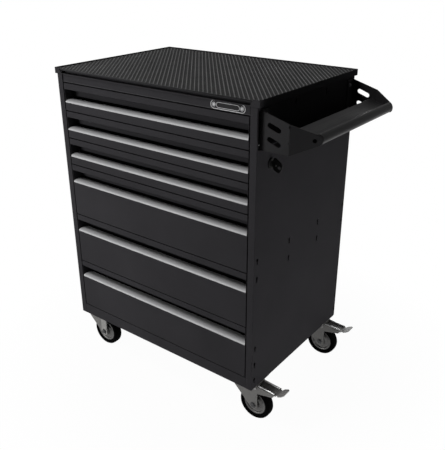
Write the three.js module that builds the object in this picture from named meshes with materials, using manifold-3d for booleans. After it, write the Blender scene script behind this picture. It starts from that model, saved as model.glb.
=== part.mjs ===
// Roller tool cabinet with six drawers, a side push handle and four swivel castors.
// Millimetres, +Z up, the front faces -Y. While the pieces are made, x = 0 is the middle of the body,
// y = 0 its front face and z = 0 the floor. The last lines move the origin to the middle of the base.

import * as THREE from 'three';
import { mergeVertices } from 'three/addons/utils/BufferGeometryUtils.js';
import Module from 'manifold-3d';

const wasm = await Module();
wasm.setup();

// Driving dimensions: clearances and body
const gap = 0.3; // between pieces that touch
const weld = 0.2; // how far welded sheets reach into each other
const gridSteps = 512; // corners are rounded to this part of a millimetre
const past = 1; // how far a cutting shape runs past the face it cuts
const bodyWidth = 680;
const bodyDepth = 480;
const bodySheet = 1.5;
const stileWidth = 19; // folded front edge of each side panel
const stileReturn = 20; // how far the stile folds back inside
const rearFlange = 24;
const baseFlange = 25; // upturned sides and back of the base
const railReturn = 16; // folded-back edges of the bottom rail and the apron
const bottomRailHeight = 33.5;
const topRailHeight = 31.2; // from the top drawer's opening to the top of the side panels

// Driving dimensions: worktop and mat
const lidSideOverhang = 7;
const lidFrontOverhang = 2;
const lidRearOverhang = 3;
const lidLipHeight = 17;
const lidRimProud = 3; // how far the rim stands above the mat
const grooveCornerRadius = 12; // ends of the dark groove in the front lip
const grooveStripHeight = 2; // strip of the front lip left below the groove
const grooveSideMargin = 20; // from the end of the front lip to the groove
const apronSetback = 2;
const apronGap = 2; // between the apron and each stile
const grooveDepth = 8;
const plateSetback = 3; // front edge of the worktop's plate, under the mat
const matThickness = 4;
const matBase = 2.2; // mat thickness between its ribs
const matRibPitch = 10.3;
const matRibWidth = 4.6;
const matRibTop = 3;
const matRibAngle = 39; // degrees, how far the ribs lean to the left towards the back
const matMargin = 0.8; // from the mat to the rim

// Driving dimensions: drawers
const drawerModule = 80.333; // pitch of a small drawer
const drawerUnits = [1, 1, 1, 2, 2, 2]; // modules in each drawer, from the top
const frontGap = 3; // around each drawer front
const drawerSheet = 1.2;
const frontStripHeight = 17.2; // flat strip above the finger recess
const gripDrop = 53.5; // from the drawer's top to the grip's front edge
const recessDepth = 34;
const frontReturn = 14;
const boxRearClearance = 26.7; // from the drawer boxes to the back panel
const boxBottomRise = 6;
const boxTopDrop = 16; // from the drawer's top to the rim of its box
const gripRearGap = 4; // from the grip to the back of the recess
const gripDepth = recessDepth - gripRearGap;
const gripHeight = 7.2;
const gripFloor = 1.4; // height of the grip's front edge
const gripOverhang = 0.8; // of the grip's front edge over the drawer's face
const gripNoseHeight = 4.2;
const gripShoulderRun = 6; // from the drawer's face to the end of the rounded nose
const gripShoulderHeight = 6.4;
const gripCrownRun = 16; // from the drawer's face to the top of the crown
const gripRearHeight = 6.2;

// Driving dimensions: slides
const slideStart = 60; // from the front face to the slides
const slideRearClearance = 16.7; // from the slides to the back panel
const slideHeight = 35;
const slideWidth = 12.5; // from the upright to the drawer box
const slideSheet = 1.2;
const slidePlay = 0.4; // between the flanges of a slide's members
const slideWebPlay = 1.6; // between the webs of the cabinet member and the middle member
const cabinetFlangeGap = 2; // from the cabinet member's flanges to the drawer box
const middleFlangeGap = 1.7;
const innerFlangeGap = 1.3; // from the inner member's flanges to the middle member's web
const slideRise = 27.5; // from the drawer's bottom to the slide's middle
const rackDepth = 18.5; // from the side panel to the slides
const uprightWidth = 30;
const frontUprightInset = 16; // from the slides' ends to the uprights
const rearUprightInset = 34;

// Driving dimensions: lock
const lockDepth = 62; // lock axis behind the front face
const lockDrop = 162; // from the top of the worktop to the lock axis
const plugRadius = 6;
const barrelRadius = 9.5;
const bezelRadius = 14;
const bezelHeight = 3.2;
const bezelTaper = 1;
const barrelLength = 9; // inside the body
const barThickness = 3;
const barWidth = 12;
const barStart = 51; // from the front face to the lock bar
const barPlay = 3; // from the uprights' inner face to the lock bar
const barFootDrop = 6; // how far the lock bar runs on below its lowest hook
const barHeadRise = 16; // and above the middle of its upper guide
const guideRise = 50; // from a drawer's bottom to the guide beside it
const guideHeight = 24;
const hookHeight = 2.4;
const hookReach = 12;
const hookDepth = 3;
const hookDrop = 2.7; // from a drawer's bottom to the underside of its hook
const lugRise = 6.3;
const lugHeight = 7;
const lugReach = 7.3;
const lugThickness = 3;
const lugPlay = 3; // from the hooks to the lugs
const camPinOffset = 4.5; // sideways and upwards from the lock axis
const camPinRadius = 2;
const camRadius = 8.5;
const camStandoff = 1; // from the lock bar to the cam
const camThickness = 2.5;
const keyThickness = 3;
const plugProud = 4.5; // how far the plug stands out of the side panel
const keyNeckHeight = 10;
const keyShoulderReach = 9; // from the side panel to the key's shoulder
const keyShoulderHeight = 15;
const keyShoulderWidth = 5;
const keyTipReach = 33;
const keyTipRise = -2; // from the lock axis to the key's outermost point
const keyTipSlope = 6;
const keyFootHeight = 20; // below the lock axis
const keyRingHoleRadius = 4.5;
const keyRingHoleReach = 24.5;
const keyRingHoleDrop = 8;
const lockPinClearance = 0.6;

// Driving dimensions: push handle
const bracketSheet = 2.5;
const bracketInset = 12.4; // from the body's front or back to the bracket
const bracketFlange = 30;
const bracketReach = 77; // from the body's side to the bend
const bracketTopDrop = 25; // from the rim of the worktop to the bracket
const bracketHeight = 93;
const bracketBendRise = 72; // height of the bracket at its bend
const bendAngle = 31; // degrees, how far the bracket's outer part turns inwards
const noseRun = 63; // from the bend to the nose
const slotWidth = 12;
const slotRun = 24;
const slotFall = 8.5;
const slotPitch = 32.5;
const slotReach = 25; // from the body's side to the slots
const slotDrop = 31; // from the bracket's top to the upper slot
const reliefWidth = 3; // two small slots along the bend
const reliefHeight = 6;
const reliefPitch = 36;
const reliefDrop = 9; // below the bracket's top edge at the bend
const boltHoleRadius = 3;
const boltHoleInset = 16; // from the bar's nose
const boltHoleDrop = 14; // from the bar's top
const bracketNoseRadius = 14;
const bracketRootWidth = 4; // level piece of the bracket's top edge
const barSheet = 2;
const barDrop = 41.8; // from the bracket's top to the bar's top
const barLip = 26; // from the bar's top to its lower edge
const barLipSetback = 9;
const barNoseDrop = 12; // from the bar's top to its widest place
const barRidgeSetback = 14;
const barRidgeWidth = 8;
const barTroughDepth = 10;
const barTroughSetback = 30;
const barTroughWidth = 25;
const barInnerDrop = 3; // from the bar's top to its inner edge
const barSectionWidth = 77; // from the bar's inner edge to its nose
const trayFloorRise = 3; // from the brackets' lower edges to the floor of the tray
const panelSlotWidth = 7; // slot in the side panel in front of the bracket

// Driving dimensions: keyhole slots of the right side panel
const keyholeHeadRadius = 4.5;
const keyholeTailWidth = 4.5;
const keyholeHeight = 17;
const keyholeEndInset = 14; // first column behind the front
const keyholeRearInset = 8;
const keyholeMiddlePitch = 155;
const keyholeRowPitch = 51.5;
const keyholeBottomRow = 25.7; // above the underside of the base
const keyholeCentreRow = 340;
const keyholeTopDrop = 17; // from the worktop's lip to the top row

// Driving dimensions: castors
const castorSideInset = 36; // swivel axis from the body's side
const castorFrontInset = 55;
const castorRearInset = 38;
const castorTrail = 20;
const plateLength = 74;
const plateWidth = 70;
const plateThickness = 3;
const raceRadius = 30;
const raceNeckRadius = 24;
const raceFootRadius = 27;
const raceHeight = 5.7;
const kingpinRadius = 6;
const kingpinHeadRadius = 10;
const kingpinHeadHeight = 4;
const wheelRadius = 50;
const wheelTopClearance = 18.2; // from the tyre to the fork's crown
const tyreWidth = 30;
const tyreThickness = 13.7;
const tyreRounding = 4;
const rimWidth = 22;
const hubRadius = 14;
const hubPlay = 0.4; // from the hub to each leg of the fork
const webThickness = 6; // of the rim, between its hub and its seat
const forkSheet = 2.5;
const forkWidth = 40;
const forkLegRadius = 13;
const forkLead = 48; // fork crown in front of the swivel axis
const forkShoulderDrop = 18.7; // front edge of the crown, before it slopes down to the axle
const forkShoulderSlope = 8;
const forkShoulderStep = 4;
const axleRadius = 6;
const axleHeadRadius = 8;
const axleHeadHeight = 4;
const brakeArmReach = 69; // from the axle to the end of the brake arms
const brakeArmRootDrop = 25; // depth of the arms at the fork
const brakeArmTipDrop = 9.5;
const brakeArmFall = 4; // how far the arms' top edges fall to their ends
const brakeArmStep = 1.5; // from the crown's top to the arms
const brakeArmTipSlope = 6;
const pedalPivotX = 6; // from the axle
const pedalPivotDrop = 8.7; // below the fork's crown
const pedalSheet = 2;
const pedalPinRadius = 3;
const pedalPinHead = 2; // step and height of the pin's heads
const pedalTail = 8; // how far the pedal's plate runs on behind its pin
const pedalNeckReach = 72; // from the axle to the bend between plate and pad
const pedalPadLength = 25;
const padLap = 6; // how far the pad's sheet lies on the plate
const padNeckInset = 4; // from the plate's edges to the pad's neck
const padNeckLength = 2;
const padFlare = 5; // from the neck to the pad's full width
const padCorner = 6; // clipped corners at the pad's end
const pedalTipRise = 12;
const flangeStart = 1.5; // from the fork's legs to the flanges along the pedal
const flangeInset = 3; // from the end of the brake arms to the end of the flanges
const beadRadius = 2.4; // rolled top edges of the flanges
const beadRise = 0.8; // of the rolled edges' middle over the arms
const shoeAngle = 58.7; // degrees, where the brake shoe meets the tyre
const shoeClearance = 4.7;
const shoeLength = 18;
const shoeWidth = 18;

// Heights and places that follow
const crownTop = 2 * wheelRadius + wheelTopClearance + forkSheet;
const castorTop = crownTop + gap + raceHeight + plateThickness;
const castorHeight = castorTop + gap; // from the floor to the underside of the base
const bodyHalf = bodyWidth / 2;
const drawersBottom = castorHeight + bottomRailHeight + frontGap / 2;
const moduleCount = drawerUnits.reduce((sum, units) => sum + units, 0);
const drawersTop = drawersBottom + moduleCount * drawerModule;
const panelTop = drawersTop + topRailHeight;
const innerHalf = bodyHalf - bodySheet - gap; // what stands inside the side panels
const openingHalf = bodyHalf - stileWidth;
const frontHalf = openingHalf - frontGap;
const lidPlateBottom = panelTop + gap;
const lidPlateTop = lidPlateBottom + bodySheet;
const lidTop = lidPlateTop + matThickness + lidRimProud;
const lidLipBottom = lidTop - lidLipHeight;
const lidHalf = bodyHalf + lidSideOverhang;
const backFace = bodyDepth - bodySheet - gap;
const baseBack = backFace - bodySheet - gap;
const slidePlane = innerHalf - rackDepth; // uprights' inner face
const boxHalfWidth = slidePlane - slideWidth;
const frontUpright = slideStart + frontUprightInset;
const insideBack = backFace - bodySheet; // front of the back panel
const slideLength = insideBack - slideRearClearance - slideStart;
const boxDepth = insideBack - boxRearClearance - recessDepth;
const rearUpright = slideStart + slideLength - rearUprightInset - uprightWidth;
const barInner = slidePlane + barPlay;
const barOuter = barInner + barThickness;
const lockHeight = lidTop - lockDrop;
const middleWeb = slidePlane + weld - slideSheet - slideWebPlay; // outer face of a slide's middle member
const bendX = bodyHalf + bracketReach;
const noseX = bendX + noseRun;
const bendSlope = THREE.MathUtils.degToRad(bendAngle);
const bendRun = noseRun + bracketSheet; // the folded sheets run past the nose and are trimmed there
const bendOffset = bendRun * Math.tan(bendSlope);
const bracketTop = lidTop - bracketTopDrop;
const bracketBottom = bracketTop - bracketHeight;
const barTop = bracketTop - barDrop;
const barInnerEdge = noseX - barSectionWidth;
const trayFloor = bracketBottom + trayFloorRise;
const trayEdge = bodyHalf + gap + bracketSheet + gap; // beside the brackets' flanges
const barEndSide = bracketInset + bracketSheet + gap; // the bar's end plates lie just inside the brackets
const barEndBend = bendX - (bracketSheet + gap) * Math.tan(bendSlope / 2);

// Materials
const paint = { color: 0x2b2b2d, roughness: 0.55, metalness: 0.2 };
const blackPaint = { color: 0x121213, roughness: 0.6, metalness: 0.1 };
const rubber = { color: 0x0d0d0d, roughness: 0.8, metalness: 0 };
const ribbedRubber = { color: 0x4a4a4c, roughness: 0.75, metalness: 0 };
const aluminium = { color: 0xa8a8aa, roughness: 0.35, metalness: 0.9 };
const zinc = { color: 0x77777a, roughness: 0.45, metalness: 0.8 };
const darkZinc = { color: 0x4b4b4d, roughness: 0.5, metalness: 0.7 };

const cabinet = new THREE.Group();

// Geometry helpers

// Merges shared corners, drops flat triangles at an axis and turns the faces outwards.
function closedGeometry(source) {
  const bare = source.index ? source.toNonIndexed() : source.clone();
  bare.deleteAttribute('normal');
  bare.deleteAttribute('uv');
  const merged = mergeVertices(bare, 1e-4);
  const corner = (i) => new THREE.Vector3().fromBufferAttribute(merged.attributes.position, i);
  const faces = [];
  let volume = 0;
  for (let i = 0; i < merged.index.count; i += 3) {
    const face = [0, 1, 2].map((step) => merged.index.getX(i + step));
    if (new Set(face).size < 3) continue;
    faces.push(face);
    const [a, b, c] = face.map(corner);
    volume += a.dot(b.cross(c));
  }
  if (volume < 0) faces.forEach((face) => face.reverse());
  merged.setIndex(faces.flat());
  return merged;
}

function toSolid(geometry) {
  const closed = closedGeometry(geometry);
  const vertProperties = new Float32Array(closed.attributes.position.array);
  const triVerts = new Uint32Array(closed.index.array);
  return new wasm.Manifold(new wasm.Mesh({ numProp: 3, vertProperties, triVerts }));
}

function toGeometry(solid) {
  const mesh = solid.getMesh();
  const geometry = new THREE.BufferGeometry();
  geometry.setAttribute('position', new THREE.BufferAttribute(new Float32Array(mesh.vertProperties), 3));
  geometry.setIndex(Array.from(mesh.triVerts));
  return geometry;
}

// Rounds the corners to a fine grid, so that faces meant to lie in one plane do.
function onGrid(geometry) {
  const corners = geometry.attributes.position.array;
  corners.forEach((value, i) => {
    corners[i] = Math.round(value * gridSteps) / gridSteps;
  });
  return geometry;
}

function join(pieces) {
  return toGeometry(pieces.map(toSolid).reduce((sum, piece) => sum.add(piece)));
}

function cut(piece, tools) {
  return toGeometry(tools.map(toSolid).reduce((rest, tool) => rest.subtract(tool), toSolid(piece)));
}

function overlap(piece, other) {
  return toGeometry(toSolid(piece).intersect(toSolid(other)));
}

function block(x0, x1, y0, y1, z0, z1) {
  const box = new THREE.BoxGeometry(x1 - x0, y1 - y0, z1 - z0);
  return onGrid(box.translate((x0 + x1) / 2, (y0 + y1) / 2, (z0 + z1) / 2));
}

function outlineShape(points) {
  return new THREE.Shape(points.map(([a, b]) => new THREE.Vector2(a, b)));
}

// An outline in x and y, raised from z0 to z1.
function prismZ(points, z0, z1) {
  const shape = new THREE.ExtrudeGeometry(outlineShape(points), { depth: z1 - z0, bevelEnabled: false });
  return onGrid(shape.translate(0, 0, z0));
}

// An outline in x and z, drawn out from y0 to y1.
function prismY(points, y0, y1) {
  const shape = new THREE.ExtrudeGeometry(outlineShape(points), { depth: y1 - y0, bevelEnabled: false });
  return onGrid(shape.rotateX(Math.PI / 2).translate(0, y1, 0));
}

// An outline in y and z, drawn out from x0 to x1.
function prismX(points, x0, x1) {
  const shape = new THREE.ExtrudeGeometry(outlineShape(points), { depth: x1 - x0, bevelEnabled: false });
  const turn = new THREE.Matrix4().makeBasis(
    new THREE.Vector3(0, 1, 0),
    new THREE.Vector3(0, 0, 1),
    new THREE.Vector3(1, 0, 0),
  );
  return onGrid(shape.applyMatrix4(turn).translate(x0, 0, 0));
}

// The outline of a folded sheet: the path is one face, the other lies a thickness to its left.
function folded(path, thickness) {
  const normal = (a, b) => {
    const length = Math.hypot(b[0] - a[0], b[1] - a[1]);
    return [-(b[1] - a[1]) / length, (b[0] - a[0]) / length];
  };
  const otherFace = path.map((point, i) => {
    const before = normal(path[Math.max(i - 1, 0)], path[Math.max(i, 1)]);
    const after = normal(path[Math.min(i, path.length - 2)], path[Math.min(i + 1, path.length - 1)]);
    const mitre = thickness / (1 + before[0] * after[0] + before[1] * after[1]);
    return [point[0] + (before[0] + after[0]) * mitre, point[1] + (before[1] + after[1]) * mitre];
  });
  return [...path, ...otherFace.reverse()];
}

function arc(centreA, centreB, radius, fromDegrees, toDegrees, steps) {
  return Array.from({ length: steps + 1 }, (_, i) => {
    const angle = THREE.MathUtils.degToRad(fromDegrees + ((toDegrees - fromDegrees) * i) / steps);
    return [centreA + radius * Math.cos(angle), centreB + radius * Math.sin(angle)];
  });
}

// A profile of radius and height turned round an axis through the origin.
function turned(profile, segments, axis) {
  const points = profile.map(([radius, height]) => new THREE.Vector2(radius, height));
  const lathe = new THREE.LatheGeometry(points, segments, Math.PI / segments);
  if (axis === 'z') lathe.rotateX(Math.PI / 2);
  if (axis === 'x') lathe.rotateZ(-Math.PI / 2);
  return lathe;
}

function rod(radius, from, to, segments, axis) {
  return turned([[0, from], [radius, from], [radius, to], [0, to]], segments, axis);
}

function mirrorX(points) {
  return points.map(([x, other]) => [-x, other]);
}

function addPart(name, geometry, look, parent = cabinet) {
  const mesh = new THREE.Mesh(closedGeometry(geometry), new THREE.MeshStandardMaterial(look));
  mesh.name = name;
  parent.add(mesh);
  return mesh;
}

// Side panels: one folded sheet each, with the front stile and the rear flange

function sidePanelOutline() {
  return folded([
    [openingHalf, stileReturn],
    [openingHalf, 0],
    [bodyHalf, 0],
    [bodyHalf, bodyDepth],
    [bodyHalf - rearFlange, bodyDepth],
  ], bodySheet);
}

function keyhole(y, z) {
  const headCentre = z + keyholeHeight / 2 - keyholeHeadRadius;
  const neck = THREE.MathUtils.radToDeg(Math.asin(keyholeTailWidth / 2 / keyholeHeadRadius));
  const outline = [
    ...arc(y, headCentre, keyholeHeadRadius, neck - 90, 270 - neck, 9),
    [y - keyholeTailWidth / 2, z - keyholeHeight / 2],
    [y + keyholeTailWidth / 2, z - keyholeHeight / 2],
  ];
  return prismX(outline, bodyHalf - 2 * bodySheet, bodyHalf + bodySheet);
}

function keyholes() {
  const firstColumn = keyholeEndInset;
  const lastColumn = bodyDepth - keyholeRearInset;
  const middle = (firstColumn + lastColumn) / 2;
  const middleColumns = [middle - keyholeMiddlePitch / 2, middle + keyholeMiddlePitch / 2];
  const endColumns = [firstColumn, lastColumn];
  const bottomRow = castorHeight + keyholeBottomRow;
  const centreRow = castorHeight + keyholeCentreRow;
  const topRow = lidLipBottom - keyholeTopDrop;
  const holes = [];
  for (const y of endColumns) {
    for (const row of [0, 1, 2]) holes.push(keyhole(y, bottomRow + row * keyholeRowPitch));
  }
  for (const y of [...endColumns, ...middleColumns]) {
    for (const row of [0, 1]) holes.push(keyhole(y, centreRow + row * keyholeRowPitch));
  }
  for (const y of middleColumns) holes.push(keyhole(y, topRow));
  return holes;
}

// Slots that the handle brackets hook into, beside each bracket.
function bracketSlots() {
  return [bracketInset - panelSlotWidth, bodyDepth - bracketInset].map((y) => block(
    bodyHalf - 2 * bodySheet, bodyHalf + bodySheet,
    y, y + panelSlotWidth,
    bracketBottom, bracketTop,
  ));
}

function sidePanels() {
  const left = prismZ(mirrorX(sidePanelOutline()), castorHeight, panelTop);
  const right = prismZ(sidePanelOutline(), castorHeight, panelTop);
  const lockHole = rod(barrelRadius + gap, bodyHalf - 2 * bodySheet, bodyHalf + bodySheet, 20, 'x');
  lockHole.translate(0, lockDepth, lockHeight);
  addPart('left_side_panel', left, paint);
  addPart('right_side_panel', cut(right, [...keyholes(), ...bracketSlots(), lockHole]), paint);
}

function backPanel() {
  const back = block(-innerHalf, innerHalf, backFace - bodySheet, backFace, castorHeight, panelTop);
  addPart('back_panel', back, paint);
}

// Base: a tray with the bottom front rail folded from the same sheet

function basePanel() {
  const railHalf = openingHalf - gap;
  const railTop = castorHeight + bottomRailHeight;
  const flangeTop = castorHeight + baseFlange;
  const behindStiles = stileReturn + gap;
  const above = railTop + past;
  const insideHalf = innerHalf - bodySheet;
  const trayBack = baseBack - bodySheet;
  const sheet = block(-innerHalf, innerHalf, 0, baseBack, castorHeight, railTop);
  const inside = block(
    -insideHalf, insideHalf, bodySheet, trayBack, castorHeight + bodySheet, railTop - bodySheet,
  );
  const aboveFlanges = block(-bodyHalf, bodyHalf, railReturn, bodyDepth, flangeTop, above);
  const corners = [[-bodyHalf, -railHalf], [railHalf, bodyHalf]].map(
    ([x0, x1]) => block(x0, x1, -past, behindStiles, castorHeight - past, above),
  );
  addPart('base_panel', cut(sheet, [inside, aboveFlanges, ...corners]), paint);
}

// Worktop: a lid with lips all round, an apron above the top drawer and a groove in its front lip

function lidGroove() {
  const grooveHalf = lidHalf - grooveSideMargin;
  const grooveBottom = lidLipBottom + grooveStripHeight;
  const cornerZ = grooveBottom + grooveCornerRadius;
  const cornerX = grooveHalf - grooveCornerRadius;
  const outline = [
    [grooveHalf, lidTop + past],
    ...arc(cornerX, cornerZ, grooveCornerRadius, 0, -90, 5),
    ...arc(-cornerX, cornerZ, grooveCornerRadius, -90, -180, 5),
    [-grooveHalf, lidTop + past],
  ];
  return prismY(outline, -2 * lidFrontOverhang, plateSetback);
}

function apron() {
  const grooveBottom = lidLipBottom + grooveStripHeight / 2;
  const apronBottom = drawersTop + frontGap / 2;
  const sheet = folded([
    [apronSetback + grooveDepth, lidPlateBottom + weld],
    [apronSetback + grooveDepth, grooveBottom],
    [apronSetback, grooveBottom],
    [apronSetback, apronBottom],
    [railReturn, apronBottom],
  ], bodySheet);
  const half = openingHalf - apronGap;
  return prismX(sheet, -half, half);
}

function worktop() {
  const frontY = -lidFrontOverhang;
  const backY = bodyDepth + lidRearOverhang;
  const insideHalf = lidHalf - bodySheet;
  const insideFront = frontY + bodySheet;
  const lidBack = backY - bodySheet;
  const lid = block(-lidHalf, lidHalf, frontY, backY, lidLipBottom, lidTop);
  const tools = [
    block(-insideHalf, insideHalf, insideFront, lidBack, lidPlateTop, lidTop + past),
    block(-insideHalf, insideHalf, insideFront, lidBack, lidLipBottom - past, lidPlateBottom),
    lidGroove(),
  ];
  addPart('worktop', join([cut(lid, tools), apron()]), paint);
}

// Mat: ribs that run slantwise across a thin sheet, one of them through its middle
function topMat() {
  const half = lidHalf - bodySheet - matMargin;
  const depth = bodyDepth + lidRearOverhang - bodySheet - matMargin;
  const bottom = lidPlateTop + gap;
  const top = lidPlateTop + matThickness;
  const ribs = Math.ceil(Math.hypot(half, depth / 2) / matRibPitch);
  const reach = (ribs + 1) * matRibPitch;
  const outline = [[-reach, bottom], [-reach, bottom + matBase]];
  for (let i = -ribs; i <= ribs; i += 1) {
    const middle = i * matRibPitch;
    outline.push([middle - matRibWidth / 2, bottom + matBase], [middle - matRibTop / 2, top]);
    outline.push([middle + matRibTop / 2, top], [middle + matRibWidth / 2, bottom + matBase]);
  }
  outline.push([reach, bottom + matBase], [reach, bottom]);
  const ribbed = prismY(outline, -reach, reach);
  ribbed.rotateZ(THREE.MathUtils.degToRad(matRibAngle)).translate(0, depth / 2, 0);
  const sheet = block(-half, half, 0, depth, bottom - past, top + past);
  addPart('top_mat', overlap(ribbed, sheet), ribbedRubber);
}

// Drawer slides: nested channels. The cabinet members belong to the racks, the inner ones to the drawers.

// A channel open towards the drawer, as an outline of x and height.
function channelOutline(outerX, reach, halfHeight, sheet) {
  return folded([
    [outerX - reach, -halfHeight],
    [outerX, -halfHeight],
    [outerX, halfHeight],
    [outerX - reach, halfHeight],
  ], sheet);
}

function placeSlide(outline, side, middle, y0, y1) {
  const points = side < 0 ? mirrorX(outline) : outline;
  return prismY(points, y0, y1).translate(0, 0, middle);
}

function slideMiddle(drawerBottom) {
  return drawerBottom + slideRise;
}

function cabinetMember(side, middle) {
  const reach = slideWidth + weld - cabinetFlangeGap;
  const outline = channelOutline(slidePlane + weld, reach, slideHeight / 2, slideSheet);
  return placeSlide(outline, side, middle, slideStart, slideStart + slideLength);
}

function middleMember(side, middle) {
  const reach = middleWeb - boxHalfWidth - middleFlangeGap;
  const halfHeight = slideHeight / 2 - slideSheet - slidePlay;
  const outline = channelOutline(middleWeb, reach, halfHeight, slideSheet);
  return placeSlide(outline, side, middle, slideStart, slideStart + slideLength);
}

function innerMember(side, middle) {
  const halfHeight = slideHeight / 2 - 2 * (slideSheet + slidePlay);
  const reach = middleWeb - slideSheet - innerFlangeGap;
  const outline = folded([
    [reach, halfHeight],
    [boxHalfWidth - weld, halfHeight],
    [boxHalfWidth - weld, -halfHeight],
    [reach, -halfHeight],
  ], slideSheet);
  return placeSlide(outline, side, middle, slideStart, recessDepth + boxDepth - 2 * drawerSheet);
}

function upright(side, y) {
  const outline = folded([
    [innerHalf, y + uprightWidth],
    [slidePlane, y + uprightWidth],
    [slidePlane, y],
    [innerHalf, y],
  ], bodySheet);
  const points = side < 0 ? mirrorX(outline) : outline;
  return prismZ(points, castorHeight + bodySheet + gap, lidPlateBottom - gap);
}

// Room at the foot of the uprights for the upturned side of the base.
function footNotch(side) {
  const inner = side * (innerHalf - bodySheet - gap);
  const outer = side * bodyHalf;
  return block(
    Math.min(inner, outer), Math.max(inner, outer),
    0, bodyDepth,
    castorHeight, castorHeight + baseFlange + gap,
  );
}

// Tabs on the right front upright that the lock bar slides on.
function barGuides(drawers) {
  return [drawers[0], drawers[drawers.length - 1]].map((drawer) => {
    const middle = drawer.bottom + guideRise;
    return block(
      barOuter + gap, barOuter + gap + bodySheet,
      barStart, frontUpright + bodySheet,
      middle - guideHeight / 2, middle + guideHeight / 2,
    );
  });
}

function slideRacks(drawers) {
  for (const [name, side] of [['left_slide_rack', -1], ['right_slide_rack', 1]]) {
    const pieces = [upright(side, frontUpright), upright(side, rearUpright)];
    for (const drawer of drawers) pieces.push(cabinetMember(side, slideMiddle(drawer.bottom)));
    if (side > 0) pieces.push(...barGuides(drawers));
    addPart(name, cut(join(pieces), [footNotch(side)]), zinc);
  }
}

// Drawers: where each one stands, counted from the top

function drawerPlaces() {
  let top = drawersTop;
  return drawerUnits.map((units, i) => {
    const drawer = {
      name: `drawer_${i + 1}`,
      top: top - frontGap / 2,
      bottom: top - units * drawerModule + frontGap / 2,
    };
    top -= units * drawerModule;
    return drawer;
  });
}

// The front: one sheet folded into a flat strip, a deep finger recess and a flat lower face.
function drawerFront({ top, bottom }) {
  const stripBottom = top - frontStripHeight;
  const floor = top - gripDrop - gripFloor;
  const sheet = folded([
    [frontReturn, top],
    [0, top],
    [0, stripBottom],
    [recessDepth, stripBottom],
    [recessDepth, floor],
    [0, floor],
    [0, bottom],
    [frontReturn, bottom],
  ], drawerSheet);
  const pieces = [prismX(sheet, -frontHalf, frontHalf)];
  for (const side of [-1, 1]) {
    const x0 = side < 0 ? -frontHalf + weld : frontHalf - weld - drawerSheet;
    const x1 = x0 + drawerSheet;
    const wallBack = recessDepth + drawerSheet - weld;
    pieces.push(block(x0, x1, weld, wallBack, floor - weld, stripBottom + weld));
    pieces.push(block(x0, x1, weld, frontReturn - weld, stripBottom + weld, top - weld));
    pieces.push(block(x0, x1, weld, frontReturn - weld, bottom + weld, floor - weld));
  }
  return pieces;
}

function drawerBox({ top, bottom }) {
  const floor = bottom + boxBottomRise;
  const rim = top - boxTopDrop;
  const frontY = recessDepth + weld;
  const backY = recessDepth + boxDepth;
  const half = boxHalfWidth;
  const inside = half - drawerSheet;
  return cut(block(-half, half, frontY, backY, floor, rim), [
    block(-inside, inside, frontY + drawerSheet, backY - drawerSheet, floor + drawerSheet, rim + past),
  ]);
}

// The lug on the right that the lock bar's hook stops once it is raised.
function lockLug({ bottom }) {
  const y = barStart + hookDepth + lugPlay;
  return block(
    boxHalfWidth - weld, boxHalfWidth + lugReach,
    y, y + lugThickness,
    bottom + lugRise, bottom + lugRise + lugHeight,
  );
}

// Grip: an aluminium strip with a rounded nose and a slightly crowned top, lying in the recess.
function gripStrip({ top }) {
  const floor = top - gripDrop - gripFloor + gap;
  const crown = new THREE.SplineCurve([
    new THREE.Vector2(-gripOverhang, gripFloor),
    new THREE.Vector2(gripOverhang, gripNoseHeight),
    new THREE.Vector2(gripShoulderRun, gripShoulderHeight),
    new THREE.Vector2(gripCrownRun, gripHeight),
    new THREE.Vector2(gripDepth, gripRearHeight),
  ]);
  const outline = [
    ...crown.getPoints(10).map((point) => [point.x, floor + point.y]),
    [gripDepth, floor],
    [-gripOverhang, floor],
  ];
  const half = frontHalf - drawerSheet - gap;
  return prismX(outline, -half, half);
}

function drawers(places) {
  for (const place of places) {
    const middle = slideMiddle(place.bottom);
    const box = [...drawerFront(place), drawerBox(place), lockLug(place)];
    box.push(innerMember(-1, middle), innerMember(1, middle));
    addPart(`${place.name}_box`, join(box), paint);
    addPart(`${place.name}_grip`, gripStrip(place), aluminium);
    addPart(`${place.name}_slide_left`, middleMember(-1, middle), zinc);
    addPart(`${place.name}_slide_right`, middleMember(1, middle), zinc);
  }
}

// Lock: a barrel in the right side panel, a plug with its key and cam, and the bar that it moves

function lockBarrel() {
  const inner = bodyHalf - barrelLength;
  const nutOuter = bodyHalf - bodySheet - gap;
  const seat = bodyHalf + gap;
  const bore = plugRadius + gap;
  const profile = [
    [bore, inner],
    [barrelRadius, inner],
    [barrelRadius, nutOuter - bezelHeight],
    [bezelRadius, nutOuter - bezelHeight],
    [bezelRadius, nutOuter],
    [barrelRadius, nutOuter],
    [barrelRadius, seat],
    [bezelRadius, seat],
    [bezelRadius - bezelTaper, seat + bezelHeight],
    [bore, seat + bezelHeight],
    [bore, inner],
  ];
  addPart('lock_barrel', turned(profile, 20, 'x').translate(0, lockDepth, lockHeight), blackPaint);
}

// The key's bow, seen from the front: x along the lock axis, z up from it.
function keyBow() {
  const root = bodyHalf + plugProud;
  const shoulder = bodyHalf + keyShoulderReach;
  const tip = bodyHalf + keyTipReach;
  const outline = [
    [root, keyNeckHeight / 2],
    [shoulder, keyShoulderHeight],
    [shoulder + keyShoulderWidth, keyShoulderHeight],
    [tip - keyTipSlope / 2, keyTipRise + keyTipSlope],
    [tip, keyTipRise],
    [tip - keyTipSlope / 2, keyTipRise - keyTipSlope - keyShoulderWidth],
    [tip - keyShoulderWidth - keyTipSlope / 2, -keyFootHeight],
    [tip - 2 * keyShoulderWidth - keyTipSlope / 2, -keyFootHeight],
    [shoulder, -keyShoulderHeight],
    [root, -keyNeckHeight / 2],
  ];
  const bow = prismY(outline, -keyThickness / 2, keyThickness / 2);
  const ring = arc(bodyHalf + keyRingHoleReach, -keyRingHoleDrop, keyRingHoleRadius, 0, 330, 11);
  return cut(bow, [prismY(ring, -keyThickness, keyThickness)]);
}

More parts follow.
